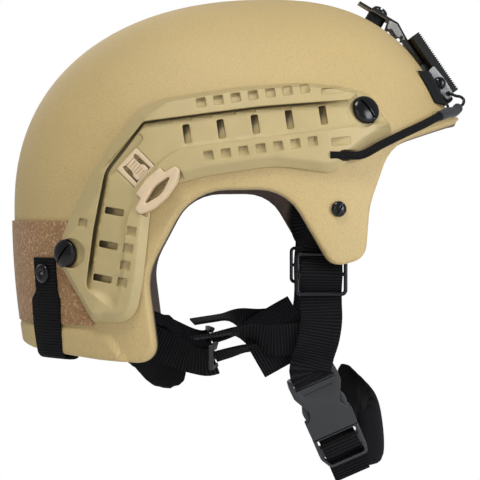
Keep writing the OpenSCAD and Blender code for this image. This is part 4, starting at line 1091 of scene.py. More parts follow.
def build_rail():
    """One rail, as heights over the side view with every edge eased; the other is its mirror."""
    outline = walked(rounded(RAIL), RAIL_PITCH)
    for c in (SCREW_FRONT, SCREW_REAR):
        outline = led_round(outline, c, RAIL_SCREW_D / 2 + 1.5)
    outline = anticlockwise(outline)
    channel = walked(rounded(CHANNEL), RAIL_PITCH)
    slots = in_a_row((-8.9, -57.9), TOP_RUN, SLOT_PITCH, range(-2, 3), SLOT)
    slots += in_a_row((78.9, -129.9), REAR_RUN, SLOT_PITCH, range(-1, 2), SLOT)
    cells = in_a_row((-7.6, -40.6), TOP_RUN, CELL_PITCH, range(-3, 4), CELL)
    cells += in_a_row((-11.9, -72.4), TOP_RUN, CELL_PITCH, range(-3, 4), CELL)
    cells += in_a_row((67.8, -136.9), REAR_RUN, CELL_PITCH, (-1.5, -0.5, 0.5, 1.5), CELL)
    cells += [bar((94.4, -116.6), REAR_RUN, 5.4, 5.4)]
    wells = [circle(c, RAIL_SCREW_D / 2 + 0.7) for c in (SCREW_FRONT, SCREW_REAR)]
    cord_hole = bar((-66.5, -76.3), 0, 16, 6.4, 3.1)
    pocket_a = rounded(POCKET_HEAD + [(x, -w, r) for x, w, r in reversed(POCKET_HEAD)])
    pocket_b = offset(rounded(RING[:5] + [(30, 18.2, 2), (48, 12, 6), (48, -12, 6)] + RING[9:]), -0.3)
    trough = rounded([(5.8, -5.6, 0.8), (28.6, -5.6, 0.8), (28.6, 5.6, 0.8), (5.8, 5.6, 0.8)])
    lines = (clip_outline_in_side_view(line) for line in (pocket_a, pocket_b, trough))
    pocket_a, pocket_b, trough = (walked(line, RAIL_PITCH) for line in lines)
    bridge = clip_outline_in_side_view([(15.9, -12), (19, -12), (19, 12), (15.9, 12)])

    def surface(p):
        """x of the rail's face, and how much painted shade each point of it takes."""
        y, z = p[:, 0], p[:, 1]
        d, slit = bars_height(p, channel)
        for well in wells:
            d = d + eased(depth_in(well, p)) * (sizes().channel_height - 0.8 - d)
        for cell in cells:
            d = d - CELL_DEPTH * eased(depth_in(cell, p), 0.3, 1.0)
        for shape, deep_end, flush_end in RAMPS:
            u = np.array(flush_end) - np.array(deep_end)
            t = np.clip(((p - np.array(deep_end)) @ u) / (u @ u), 0, 1)
            d = d - (1.9 - 1.7 * t) * eased(depth_in(shape, p), 0.3)
        # Painted shadow along the groove under the upper bar.
        dark = slit * 0.95
        # Painted shade on the upper and rear walls of each cell, the walls that face away from the light.
        for cell in cells:
            reach = depth_in(cell, p)
            middle = cell.mean(0)
            shadow = 0.45 * (y - middle[0]) + 0.9 * (z - middle[1])
            edge = np.clip(reach / 0.15, 0, 1) * np.clip((1.5 - reach) / 0.4, 0, 1)
            dark = np.maximum(dark, 0.5 * edge * np.clip((shadow - 0.9) / 0.5, 0, 1))
        # Each slot is sunk to its floor and takes painted shade: dark on its rear and upper side, lighter towards the
        # front and bottom where light falls in.
        for slot in slots:
            e = eased(depth_in(slot, p), 0.3)
            d = d + e * (SLOT_FLOOR - d)
            middle = slot.mean(0)
            lit = 0.95 * (middle[0] - y) + 0.3 * (middle[1] - z)
            dark = np.maximum(dark, np.clip(e * 2.4 - 1.4, 0, 1) * (1 - 0.82 * np.clip((lit + 1.1) / 1.8, 0, 1)))
        # The cord hole is sunk and takes painted shade.
        e = eased(depth_in(cord_hole, p), 0.6, 0.5) * np.clip((y + 73) / 8, 0, 1)
        dark = np.maximum(dark, e)
        x = side_x(y, z, d + e * (1.2 - d))
        bare = 1 - np.clip(depth_in(bridge, p) / 0.12 + 0.5, 0, 1)
        sunk = np.maximum(eased(depth_in(pocket_a, p), 0.3) * bare, eased(depth_in(pocket_b, p), 0.3))
        x = x + sunk * (np.minimum(x, pocket_x(y, z, POCKET_FLOOR)) - x)
        return x + eased(depth_in(trough, p), 0.3) * bare * (np.minimum(x, pocket_x(y, z, TROUGH_FLOOR)) - x), dark

    verts, edges = [], []

    def add_ring(points):
        base = len(verts)
        verts.extend(Vector(q) for q in points)
        edges.extend((base + i, base + (i + 1) % len(points)) for i in range(len(points)))

    def add_rings(features, *shifts):
        """Rings along each feature's edge, at these distances inside it."""
        for feature in features:
            way = 1 if signed_area(feature) > 0 else -1
            for shift in shifts:
                add_ring(offset(feature, shift * way))

    for shift in (0, 0.3, 1.0, 2.0, 3.0, 4.4, 5.4, 6.4):
        line = offset(outline, shift)
        add_ring(line if shift < 2 else walked(line, 1.6))
    add_rings([channel, pocket_a, pocket_b, trough, walked(bridge, RAIL_PITCH), *wells], -0.45, -0.15, 0, 0.13)
    add_rings(cells, 1.0)
    groove_line = paced(CHANNEL_HIGH, 1.5)
    ahead = offset(groove_line, 1, closed=False) - groove_line
    for side in (-1, -0.88, 0.03, 0.88, 1):
        run = groove_line + ahead * (groove_reach(groove_line[:, 0]) * side)[:, None]
        run = run[inside(outline, run)]
        base = len(verts)
        verts.extend(Vector(q) for q in run)
        edges.extend((base + i, base + i + 1) for i in range(len(run) - 1) if np.hypot(*(run[i + 1] - run[i])) < 3)
    add_rings([*slots, *cells, *(ramp_spot[0] for ramp_spot in RAMPS), cord_hole], -0.35, -0.12, 0, 0.13)
    ringed = np.array([tuple(v) for v in verts])
    cloud = staggered((-100, 118), (-182, -28), RAIL_CLOUD)
    cloud = cloud[inside(outline, cloud)]
    cloud = cloud[distance(outline, cloud) > 1.0]
    near = np.array([np.min((ringed[:, 0] - q[0]) ** 2 + (ringed[:, 1] - q[1]) ** 2) for q in cloud])
    verts += [Vector(q) for q in cloud[near > 0.6]]
    pts, tris, _ = filled(verts, edges, outline, 1e-5)
    # dark holds the painted shade of each point; it goes on the mesh for the rail's material.
    x, dark = surface(pts)
    top = np.stack([x, pts[:, 0], pts[:, 1]], -1)
    under = np.stack([side_x(pts[:, 0], pts[:, 1], 0.3), pts[:, 0], pts[:, 1]], -1)
    obj = skinned("rail", top, under, tris, "hollow", [dark, np.zeros(len(pts))])
    origin, run, _, out = clip_frame()
    spot = frame_at(origin, run, out)
    tunnel = [block((13, -9.3, -2.45), (23, 9.3, 0.3)), block((8, -5.5, -3.95), (27, 5.5, 0.2))]
    cut(obj, *(place(part, spot) for part in tunnel))
    pair(obj, "rail_*", "body", "rail", smooth=28)


# Small helpers for machined and moulded pieces
def joined(name, parts):
    """One object from several."""
    deselect()
    for part in parts:
        part.select_set(True)
    bpy.context.view_layer.objects.active = parts[0]
    if len(parts) > 1:
        bpy.ops.object.join()
    parts[0].name = name
    return parts[0]


def both_sides(obj):
    """The piece and its mirror image as one object."""
    return joined(obj.name, [obj, mirrored(obj, obj.name + "_twin")])


def pair(obj, node, part, look, body=HELMET, smooth=35):
    """The left piece and its mirror image, each in place of its own node; * stands for the side."""
    twin = mirrored(obj, node.replace("*", "twin"))
    for piece, side in ((obj, "left"), (twin, "right")):
        own = node.replace("*", side)
        finished(piece, own, part, look, body.replace("*", side), smooth)


def to_right(obj):
    """The same piece on the wearer's right."""
    obj.data.transform(MIRROR)
    obj.data.flip_normals()
    return obj


def block(low, high, name="block"):
    """A box between two corners in millimetres."""
    deselect()
    bpy.ops.mesh.primitive_cube_add(size=1)
    obj = bpy.context.object
    obj.name = name
    for vert in obj.data.vertices:
        vert.co = Vector(h if c > 0 else l for c, l, h in zip(vert.co, low, high)) * MM
    return obj


def cut(obj, *cutters):
    """Takes the cutters out of the piece."""
    tool = joined("cutter", list(cutters))
    modify(obj, "BOOLEAN", object=tool, operation="DIFFERENCE", solver="EXACT", use_self=len(cutters) > 1)
    bpy.data.objects.remove(tool)
    return obj


def weld(obj, other):
    """Joins the other solid to the piece."""
    modify(obj, "BOOLEAN", object=other, operation="UNION", solver="EXACT")
    bpy.data.objects.remove(other)
    return obj


def ease(obj, width, segments=2, angle=35):
    """Bevels the edges that are sharper than angle."""
    return modify(obj, "BEVEL", width=width * MM, segments=segments, limit_method="ANGLE",
                  angle_limit=math.radians(angle), use_clamp_overlap=True)


def slotted_screw(name, head, rise, slot, shank, reach):
    """A domed screw with a straight slot; its head stands on z = 0."""
    turns = [math.radians(t) for t in range(0, 90, 9)]
    over = [(head / 2 * math.cos(t), rise * (0.25 + 0.75 * math.sin(t))) for t in turns] + [(0, rise)]
    under = [(0, -reach), (shank / 2, -reach), (shank / 2, 0), (head / 2 - 0.3, 0), (head / 2, 0.3)]
    obj = turned(name, under + over, 56)
    cut(obj, block((-head, -slot / 2, rise * 0.52), (head, slot / 2, rise * 2)))
    return ease(obj, 0.14, 2, 40)


def washer(name, outer, bore, thick):
    """A ring on z = 0 with eased edges."""
    r, edge = outer / 2, outer / 2 - 0.3
    line = [(bore / 2, 0), (edge, 0), (r, 0.3), (r, thick - 0.3), (edge, thick), (bore / 2, thick), (bore / 2, 0)]
    return turned(name, line, 48)


RAIL_HEAD_RISE, RAIL_SHANK = 4.4, 6.0
SCREW_TURNS = {"front": 2, "rear": 46}
CHEEK_HEAD, CHEEK_RISE, CHEEK_SHANK = 9.4, 3.0, 5.0
SNAP_D = 12.0


def build_screws():
    """Screws, nuts and snaps, each square to the shell at its place."""
    wall = sizes().wall
    seat = sizes().channel_height - 0.5
    for name, spot in (("front", SCREW_FRONT), ("rear", SCREW_REAR)):
        obj = slotted_screw("rail_screw", RAIL_SCREW_D + 0.8, RAIL_HEAD_RISE, 1.3, RAIL_SHANK, seat + wall + 2.2)
        place(spun(obj, SCREW_TURNS[name]), side_frame(spot, seat))
        finished(both_sides(obj), f"rail_screws_{name}", "body", "screw", smooth=30)
    nuts = [place(washer("nut", 15, RAIL_SHANK + 0.3, 1.8), side_frame(spot, -wall - 2.8))
            for spot in (SCREW_FRONT, SCREW_REAR)]
    finished(both_sides(joined("nuts", nuts)), "rail_nuts", "body", "plated")
    obj = slotted_screw("cheek_screw", CHEEK_HEAD, CHEEK_RISE, 1.2, CHEEK_SHANK, wall + 5.9)
    place(spun(obj, 35), side_frame(CHEEK_SCREW, 0.3))
    finished(both_sides(obj), "cheek_screws", "body", "screw", smooth=30)
    obj = place(washer("nut", 13, CHEEK_SHANK + 0.3, 1.6), side_frame(CHEEK_SCREW, -wall - 5.7))
    finished(both_sides(obj), "cheek_nuts", "body", "plated")
    height = 2 + sizes().webbing_thickness + 0.3
    r = SNAP_D / 2
    line = [(1.6, 0), (r - 0.3, 0), (r, 0.3), (r, 1.0), (r - 0.35, 1.7), (r - 1.2, 2.25), (r - 2.1, 2.5),
            (r - 2.6, 2.45), (r - 2.9, 2.0), (r - 3.3, 1.75), (1.6, 1.7), (1.6, 0)]
    cap = place(turned("snap", line, 56), side_frame(SNAP, height))
    finished(mirrored(cap, "snap_right"), "snap_cap_right", "body", "screw", "flap_right_body")
    finished(cap, "snap_cap_left", "body", "screw", "flap_left_body")
    line = [(0, 0), (4.7, 0), (5, 0.3), (5, 0.9), (4.7, 1.2), (1.1, 1.2), (1.1, height + 1.2), (0.8, height + 1.5),
            (0, height + 1.5)]
    stud = place(turned("stud", line, 40), side_frame(SNAP, 0.3))
    finished(both_sides(stud), "snap_studs", "body", "plated")


# Sliding clips with their sprung tongues
CLIP_T, CLIP_LIFT, CLIP_HALF = 2.2, 3.0, 8.8
HOOK_SLOT = [(2.6, 3.4, 0.2), (1.6, 5.4, 0.2), (4.2, 6.2, 0.4), (15, 6.2, 0.4), (15, 3.4, 0.2)]
RING_HOLE = [(28.2, -12.4, 0.8), (25.0, 0, 13), (28.2, 12.4, 0.8), (32.0, 0, 13)]
TONGUE = [(3.2, -3.2, 0), (3.2, 3.2, 0), (9, 3.2, 2), (10.5, 4.8, 1), (14.6, 4.8, 0.5), (14.6, -4.8, 0.5),
          (10.5, -4.8, 1), (9, -3.2, 2)]


def build_clips():
    """The sliding clips with their rings and hooks, and their spring tongues."""
    origin, run, _, out = clip_frame()
    spot = frame_at(origin, run, out)
    gap = rounded(TONGUE, step=15)
    middle = gap.mean(0)
    gap = gap + (gap - middle) / np.linalg.norm(gap - middle, axis=1, keepdims=True) * 0.35
    hooks = [rounded([(x, s * w, r) for x, w, r in HOOK_SLOT], step=30)[::s] for s in (-1, 1)]
    outline = [(0, -CLIP_HALF, 1.2), (20.5, -CLIP_HALF, 0), (20.5, CLIP_HALF, 0), (0, CLIP_HALF, 1.2)]
    outline = rounded(outline, step=18)
    body = plate("clip", outline, CLIP_T, 0.3, [gap] + hooks, low=-CLIP_T)
    hole = rounded(RING_HOLE, step=9)
    ring_plate = plate("ring", rounded(RING, step=9)[::-1], CLIP_T + CLIP_LIFT, 0, [hole], low=-CLIP_T)
    ease(ring_plate, 1.0, 4, 45)
    weld(body, ring_plate)
    pair(place(body, spot), "clip_*", "plate", "clip", "clip_*_body", 32)
    tongue = plate("tongue", rounded(TONGUE, step=15), CLIP_T, 0, low=-CLIP_T)
    cut(tongue, *[block((5 + 2 * i, -2.6, -0.5), (5.6 + 2 * i, 2.6, 1)) for i in range(5)])
    ease(tongue, 0.18, 2, 50)
    pair(place(tongue, spot), "clip_tongue_*", "plate", "clip", "tongue_*_body")


# The harness: webbing, glides and sliders, made on the left and mirrored
STRAP_A0, STRAP_A1, SWAY = 51.85, 61.0, 8
GLIDE = Vector((102, -49.5, -147.5))
JOIN = Vector((97, -50, -186))
SLIDER = Vector((83, 17.4, -196))


def ease_step(t):
    return smooth_step(min(1, max(0, t)))


def swayed(rows):
    """The left strap hangs a little further forward than the right one."""
    def sway(z):
        return SWAY * ease_step((-112 - z) / 22) * (1 - 0.25 * ease_step((-165 - z) / 20))

    return [(p - Vector((0, sway(p.z), 0)), turn) for p, turn in rows]


def hung(name, rows, cols=9):
    """Webbing that follows the dome between two bearings, through (height, level) rows."""
    line = smooth_route([Vector((d, z, 0)) for d, z in rows], 6)
    grid = []
    for p in line:
        wide = ease_step((-158 - p.y) / 7)
        back = 1.8 * min(1, max(0, (-158 - p.y) / 38))
        a0, a1 = STRAP_A0 - wide + back, STRAP_A1 + 2.4 * wide + back
        grid.append([Vector(dome(a0 + (a1 - a0) * j / (cols - 1), p.y, p.x)) for j in range(cols)])
    return strip(name, grid, sizes().webbing_thickness)


def wall_row(y, z, d, turn):
    """A row of webbing that lies d inside the shell's wall."""
    n = side_normal(y, z)
    h = Vector((0, 0, 1)).cross(n).normalized()
    t = math.radians(turn)
    return side_point(y, z) - n * (sizes().wall + d), h * math.cos(t) + n.cross(h) * math.sin(t)


def side_row(x, y, z, turn=0.0):
    """A row of webbing that lies fore and aft, turned about x."""
    t = math.radians(turn)
    return Vector((x, y, z)), Vector((0, math.cos(t), math.sin(t)))


def rows_of(*rows):
    """Rows of (centre, width direction) from six numbers each."""
    return [(Vector(row[:3]), Vector(row[3:])) for row in rows]


def build_straps():
    """The harness webbing that stays with the helmet, and the flaps."""
    w, wall = sizes().webbing_width, sizes().wall
    half = sizes().webbing_thickness / 2
    fixed = hung("retention", [(0.9 + half, -197), (0.6 + half, -198.3), (-0.7, -200.2), (-wall + 0.7, -200.3),
                               (-wall - 1.6, -198.2), (-wall - 1.2 - half, -194), (-wall - 1.2 - half, -188)])
    pair(fixed, "retention_strap_*", "webbing", "webbing")
    flat = [(2 + half, z) for z in (-138, -147, -158, -169, -180)]
    flap = hung("flap", flat + [(1.6 + half, -189), (1.3 + half, -194), (1.1 + half, -198)])
    pair(flap, "retention_flap_*", "webbing", "webbing", "flap_*_body")
    g, j = GLIDE, JOIN
    upper = [wall_row(-60.5, -99, 2.2, 12), wall_row(-58.4, -108, 2.2, 12), wall_row(-55, -120, 3.4, 10),
             side_row(g.x - 1, -51.6, -128, 6), side_row(g.x - 2.5, -50.4, -133, 3), side_row(g.x - 2.6, -50, -136.5),
             side_row(g.x, -49.6, -142), side_row(g.x + 2.5, g.y, g.z), side_row(g.x, -49.4, -153),
             side_row(g.x - 2.6, -49.4, -158.5), side_row(g.x - 2.5, -49.5, -166), side_row(j.x + 1, -49.8, -176)]
    shared = [side_row(j.x - 0.5, -48, -188, -8), side_row(92.6, -45, -199, -14)]
    left = webbing("cheek", swayed(upper + shared + [side_row(88.7, -45.6, -207, -4)]), w)
    finished(left, "cheek_strap_left", "webbing", "webbing")
    to_bar = [(buckle_point(x, 0, z), BUCKLE_WIDE) for x, z in ((6.6, 3), (6.3, -2.6), (4.6, -4.7), (0, -5))]
    right = webbing("cheek", upper + shared + to_bar, w)
    finished(to_right(right), "cheek_strap_right", "webbing", "webbing")
    a = webbing("rear", rows_of(
        (84, 28, -187, 0.98, 0, 0.14), (86, 14, -185, 0.98, 0, 0.14), (86.5, 3, -183.6, 0.96, 0, 0.2),
        (89, -8, -185.5, 0.7, 0, 0.7), (92, -20, -188, 0.3, 0.2, 0.93), (93, -34, -187, 0.25, 0.2, 0.94),
        (92.7, -46, -186, 0.25, 0.2, 0.94)), w * 0.8)
    b = webbing("rear", rows_of(
        (82, 14.5, -198.8, 0.75, 0, 0.66), (83, 5, -196, 0.8, 0, 0.6), (84.5, -3, -193.6, 0.88, 0, 0.46),
        (86.5, -12, -192.6, 0.9, 0, 0.4)), w * 0.4)
    pair(joined("rear", [a, b]), "rear_strap_*", "webbing", "webbing")
    tail = webbing("tail", rows_of(
        (91, -46, -180, 0.2, 0.5, 0.84), (90, -36, -185.6, 0.15, 0.52, 0.84), (87.4, -23, -193, 0.05, 0.54, 0.84),
        (85.2, -10, -200.4, 0, 0.54, 0.84)), w)
    finished(both_sides(tail), "strap_ends", "webbing", "webbing")
    a = webbing("nape", rows_of(
        (75.6, 64.5, -186, 0.1, 0, 1), (74.5, 53, -190, 0.1, 0.2, 1), (74.5, 42, -195, 0.1, 0.4, 0.9),
        (76, 31, -199.6, 0.2, 0.4, 0.9), (79, 21, -202, 0.4, 0.2, 0.9), (80.6, 14.5, -201, 0.5, 0.1, 0.86)), 20)
    b = webbing("nape", rows_of(
        (59.9, 101.9, -191, 0.2, 0, 1), (68, 90, -185, 0.3, 0, 1), (75.4, 70, -181.5, 0.1, 0, 1),
        (76, 66.3, -181.8, 0.1, 0, 1)), 16)
    pair(joined("nape", [a, b]), "nape_strap_*", "webbing", "webbing")


def build_glides():
    """The wire tri-glides of the cheek straps and the toothed sliders of the nape band."""
    half_w, half_h, r = 14.5, 12.0, 2.4
    line = [(-half_w, -half_h, r), (half_w, -half_h, r), (half_w, half_h, r), (-half_w, half_h, r)]
    wire = 2.4
    rim = tube("glide", [GLIDE + Vector((0, *p)) for p in walked(rounded(line, step=15), 3)], wire, closed=True)
    bar_piece = tube("glide_bar", [GLIDE + Vector((0, y, 0)) for y in np.linspace(-half_w, half_w, 8)], wire)
    glide = joined("glide", [rim, bar_piece])
    near = mirrored(glide, "glide_twin")
    glides = joined("glides", [shifted(glide, 0, -SWAY, 0), near])
    finished(glides, "strap_glides", "wire", "wire")
    teeth = []
    for i in range(9):
        x = -13 + i * 26 / 9
        teeth += [(x, -12.0, 0), (x + 1.5, -12.0, 0), (x + 1.5, -11.2, 0), (x + 26 / 9, -11.2, 0)]
    line = [(-14, -10, 0.6), (-14, -12.0, 0.3), *teeth[:-2], (14, -12.0, 0.3), (14, 7, 1.2), (-14, 7, 1.2)]
    slots = [rounded([(-10.5, z, 0.6), (10.5, z, 0.6), (10.5, z + 3.6, 0.6), (-10.5, z + 3.6, 0.6)], step=30)
             for z in (-9, -1.5)]
    obj = plate("slider", rounded(line, step=30), 2.6, 0.3, slots, low=0.8)
    obj.data.transform(Matrix.Scale(0.8, 4, (0, 1, 0)))
    upright = Matrix(((1, 0, 0, 0), (0, 0, -1, 0), (0, 1, 0, 0), (0, 0, 0, 1)))
    place(obj, Matrix.Translation(SLIDER * MM) @ Matrix.Rotation(math.radians(8), 4, "Z") @ upright)
    finished(both_sides(obj), "nape_sliders", "plate", "dark_plastic")


# The side-release buckle on the wearer's right
BUCKLE = Vector((87, -43.5, -208))
BUCKLE_RUN = Vector((-12, -22.5, -52)).normalized()
BUCKLE_WIDE = Vector((0, 0.9, -0.4))
BUCKLE_X = BUCKLE_WIDE.cross(-BUCKLE_RUN).normalized()
BUCKLE_T, SOCKET_L = 9.0, 40.5
WAIST, BUCKLE_HALF = 8.6, 15.0
PRONG_AT = 10.8
PLUG_BAR = -50.4
CAVITY_T = 5.6


def buckle_point(x, y, z):
    """A place in millimetres, from the buckle's own directions."""
    return BUCKLE + BUCKLE_X * x + (-BUCKLE_RUN).cross(BUCKLE_X) * y - BUCKLE_RUN * z


def buckle_matrix():
    return frame_at(BUCKLE, BUCKLE_X, -BUCKLE_RUN)


def slab(name, outline, thick, bevel=0.5, segments=2):
    """A plate whose outline is (width, height), standing across x."""
    obj = plate(name, anticlockwise(rounded(outline, step=14)), thick, 0, low=-thick / 2)
    if bevel:
        ease(obj, bevel, segments, 30)
    return place(obj, ACROSS)


def build_buckle():
    """Socket, plug and prongs, and the chin strap on both sides of the cup."""
    half = [(15.2, 0, 2), (15.9, -5, 4), (15.6, -11, 4), (12.2, -18, 1.2), (9.6, -23.6, 5), (13.2, -28.6, 0.5),
            (15.1, -29, 0.7), (BUCKLE_HALF, -SOCKET_L, 1.5)]
    outline = half + [(-y, z, r) for y, z, r in reversed(half)]
    socket = slab("socket", outline, BUCKLE_T, bevel=1.7, segments=4)
    hw = sizes().webbing_width / 2 + 0.4
    cut(socket, block((-9, -hw, -6.8), (9, hw, -3.2)))
    cut(socket, block((-CAVITY_T / 2, -30, -SOCKET_L - 1), (CAVITY_T / 2, 30, -18.4)))
    cut(socket, block((-CAVITY_T / 2, -WAIST + 1.6, -24), (CAVITY_T / 2, WAIST - 1.6, -12)))
    for s in (-1, 1):
        line = [(-9.8, -9.6, 0.6), (9.8, -9.6, 0.6), (9.8, -10.8, 0.6), (-9.8, -10.8, 0.6)]
        rib = slab("rib", line, 1.0, bevel=0.15)
        cut(socket, shifted(rib, s * (BUCKLE_T / 2), 0, 0))
    ease(socket, 0.25, 2, 50)
    to_right(place(socket, buckle_matrix()))
    finished(socket, "buckle_socket", "shell", "plastic", smooth=32)
    top = -SOCKET_L - 0.4
    outline = [(BUCKLE_HALF, top, 1), (BUCKLE_HALF, -54, 6), (11, -61.5, 3), (-13.6, -61.5, 2.5),
               (-BUCKLE_HALF, -56, 3), (-BUCKLE_HALF, top, 1)]
    plug = slab("plug", outline, BUCKLE_T - 1.5, bevel=1.3, segments=3)
    cut(plug, block((-9, -12.8, -47.4), (9, 12.8, -42)))
    window = [(12.8, -53, 0.5), (12.8, -54.6, 3), (10.2, -59.6, 1.5), (-12.4, -59.6, 1.5), (-12.8, -53, 0.5)]
    cut(plug, slab("window", window, 18, bevel=0))
    t = CAVITY_T / 2 - 0.5
    for y, half_w, length_in in ((0, 3, 21.2), (-PRONG_AT, 1.8, 2.2), (PRONG_AT, 1.8, 2.2)):
        weld(plug, block((-t, y - half_w, -SOCKET_L - 0.8), (t, y + half_w, -SOCKET_L + length_in)))
    ease(plug, 0.25, 2, 50)
    to_right(place(plug, buckle_matrix()))
    finished(plug, "buckle_plug", "ladder", "plastic", "buckle_plug_body", smooth=32)
    root = -SOCKET_L + 2.5
    line = [(PRONG_AT - 1.7, root, 0), (PRONG_AT + 1.7, root, 0), (PRONG_AT + 1.8, -30, 1), (13.6, -28.4, 1),
            (14.5, -23, 6), (12.7, -18.3, 0.8), (11.3, -19.2, 1), (10.2, -24, 5), (PRONG_AT - 1.1, -29, 3)]
    for name, s in (("prong_front", -1), ("prong_rear", 1)):
        prong = slab(name, [(s * y, z, r) for y, z, r in line], CAVITY_T - 1, bevel=0.5)
        to_right(place(prong, buckle_matrix()))
        finished(prong, name, "arm", "plastic", name + "_body")
    rows = rows_of((60.2, -68.3, -251.2, 0, 0.5, 0.9), (62.8, -65.6, -249.2, 0, 0.7, 0.6))
    round_bar = ((-10, 6.6), (-5.4, 4.6), (0, 4.4), (4.2, 3.6), (5.2, 0), (4.2, -3.6), (0, -4.4), (-4.6, -5),
                 (-6.4, -9), (-7, -16), (-6, -24))
    rows += [(buckle_point(x, 0, PLUG_BAR + z), BUCKLE_WIDE) for x, z in round_bar]
    strap = to_right(webbing("chin", rows, sizes().webbing_width - 2))
    finished(strap, "chin_strap", "webbing", "webbing", "buckle_plug_body")
    places = smooth_route([(87.8, -52, -209.2), (84.2, -53.6, -214.6), (79, -57.6, -220.5), (71, -62.6, -226.5),
                           (61.5, -68.6, -231.6)], 3)
    turns = smooth_route([(0, 1, -0.07), (0, 1, 0.1), (0, 1, 0.2), (0, 0.9, 0.5), (0, 0.7, 0.7)], 3)
    left = webbing("chin_left", list(zip(places, turns)), sizes().webbing_width - 2, per=2)
    left = finished(left, "chin_strap_left", "webbing", "webbing", None)
    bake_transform(left)


# Padded pieces: foam under brushed knit, blown up a little by a cloth simulation
def plain_copy(node, name):
    """A copy of the node's plain solid."""
    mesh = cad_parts[node].data.copy()
    mesh.materials.clear()
    obj = bpy.data.objects.new(name, mesh)
    bpy.context.collection.objects.link(obj)
    return outward(obj)


CLOTH_FRAMES = 15


def swollen(node, name, shrink=1.4, voxel=4.5, cap=3.0, pressure=4.0, smoothing=3):
    """A padded copy of the node's plain solid, with its edges puffed and its faces slightly crowned."""
    obj = plain_copy(node, name)
    modify(obj, "REMESH", mode="VOXEL", voxel_size=1.6 * MM)
    modify(obj, "SMOOTH", factor=0.6, iterations=12)
    modify(obj, "REMESH", mode="VOXEL", voxel_size=voxel * MM)
    modify(obj, "SMOOTH", factor=0.5, iterations=smoothing)
    modify(obj, "DISPLACE", strength=-shrink * MM, mid_level=0.0)
    before = [v.co.copy() for v in obj.data.vertices]
    choose(obj)
    cloth = obj.modifiers.new("Cloth", "CLOTH")
    cloth.settings.use_pressure = True
    cloth.settings.uniform_pressure_force = pressure
    cloth.settings.effector_weights.gravity = 0
    cloth.settings.quality = 4
    cloth.collision_settings.use_collision = False
    scene = bpy.context.scene
    for step in range(1, CLOTH_FRAMES + 1):
        scene.frame_set(step)
    bpy.ops.object.modifier_apply(modifier="Cloth")
    scene.frame_set(1)
    for vert, old in zip(obj.data.vertices, before):
        move = vert.co - old
        if move.length > cap * MM:
            vert.co = old + move.normalized() * cap * MM
    modify(obj, "SUBSURF", levels=1, render_levels=1)
    return obj


def build_pads():
    """The comfort pads, the nape pad and the chin cup."""
    for node in ("front_pad", "rear_pad", "side_pads", "crown_pad"):
        part = "cushions" if node == "side_pads" else "cushion"
        obj = finished(swollen(node, part), node, part, "knit", smooth=60)
    nape = swollen("nape_pad", "cushion", 0.5, 3.2, smoothing=16)
    for vert in nape.data.vertices:
        near = ease_step((abs(vert.co.x) / MM - 20) / 30)
        depth = min(1, max(0, (-186 - vert.co.z / MM) / 18))
        vert.co += Vector((0, -7 * near * depth, -11 * near * depth)) * MM
    finished(nape, "nape_pad", "cushion", "knit", smooth=60)
    cup = swollen("chin_cup", "cushion", 0.4, 3.2, smoothing=16)
    for vert in cup.data.vertices:
        z = vert.co.z / MM
        rise = ease_step((vert.co.x / MM - 20) / 25) * min(1, max(0, (z + 232) / 22))
        vert.co += Vector((0, 0.12 * (z + 238) + 3 * rise, 9 * rise)) * MM
    finished(cup, "chin_cup", "cushion", "knit", "buckle_plug_body", smooth=60)


# The night-vision bracket at the brow
CROWN_Z = 13.4
PLATE_O = Vector((0, -118, 6.4))
PLATE_TURN = 34.6
PLATE_W, PLATE_L, PLATE_T = 54.0, 45.0, 6.0
SPACER_H, ARM_T, ARM_W = 7.0, 1.6, 20.0
LINK_T = 1.6
LINK_LINE = [(4, -35, 3), (5, -23.4, 1), (9.2, -24.2, 1), (12.2, -33.6, 5), (10.2, -46.4, 1.2), (4.8, -46.4, 1.2)]
LINK_PIN, HOOK_PIN = (8.6, -34.8), (7.4, -43.6)


def crown_axes():
    """Seat of the bracket's arm above the brow: place, run and outward direction."""
    spot = Vector(dome(-90, CROWN_Z, 0))
    run = (Vector(dome(-90, CROWN_Z + 1, 0)) - Vector(dome(-90, CROWN_Z - 1, 0))).normalized()
    return spot, run, Vector((1, 0, 0)).cross(run)


def crown_frame():
    spot, _, out = crown_axes()
    return frame_at(spot, (1, 0, 0), out)


def crown_place(u, h):
    """A place of the side view, u along the crown and h above it."""
    spot, run, out = crown_axes()
    p = spot + run * u + out * h
    return (p.y, p.z)


def plate_place(y, z):
    """A place of the side view, from the bracket plate's own directions."""
    c, s = math.cos(math.radians(PLATE_TURN)), math.sin(math.radians(PLATE_TURN))
    return (PLATE_O.y + y * c + z * s, PLATE_O.z - y * s + z * c)


def plate_frame():
    return Matrix.Translation(PLATE_O * MM) @ Matrix.Rotation(math.radians(-PLATE_TURN), 4, "X")


def folded_strip(name, line, width, thick, radius=2.5, bevel=0.3):
    """Sheet metal bent along a line in the side view, standing across the helmet."""
    route = walked(rounded([(y, z, radius) for y, z in line], closed=False, step=15), 3, closed=False)
    grid = [[Vector((x, p[0], p[1])) for x in np.linspace(-width / 2, width / 2, 5)] for p in route]
    return strip(name, grid, thick, bevel)


def flange(name, outline, x, thick):
    """A side wall of the arm: a plate in the side view."""
    line = anticlockwise(rounded([(y, z, 0.8) for y, z in outline], step=30))
    return shifted(place(plate(name, line, thick, 0.25, low=-thick / 2), ACROSS), x, 0, 0)


def cross_pin(y, z, d):
    """A round cutter across the helmet, at a place of the side view."""
    pin = turned("pin", [(0, -15), (d / 2, -15), (d / 2, 15), (0, 15)], 24)
    return shifted(place(pin, SIDEWAYS), 0, y, z)


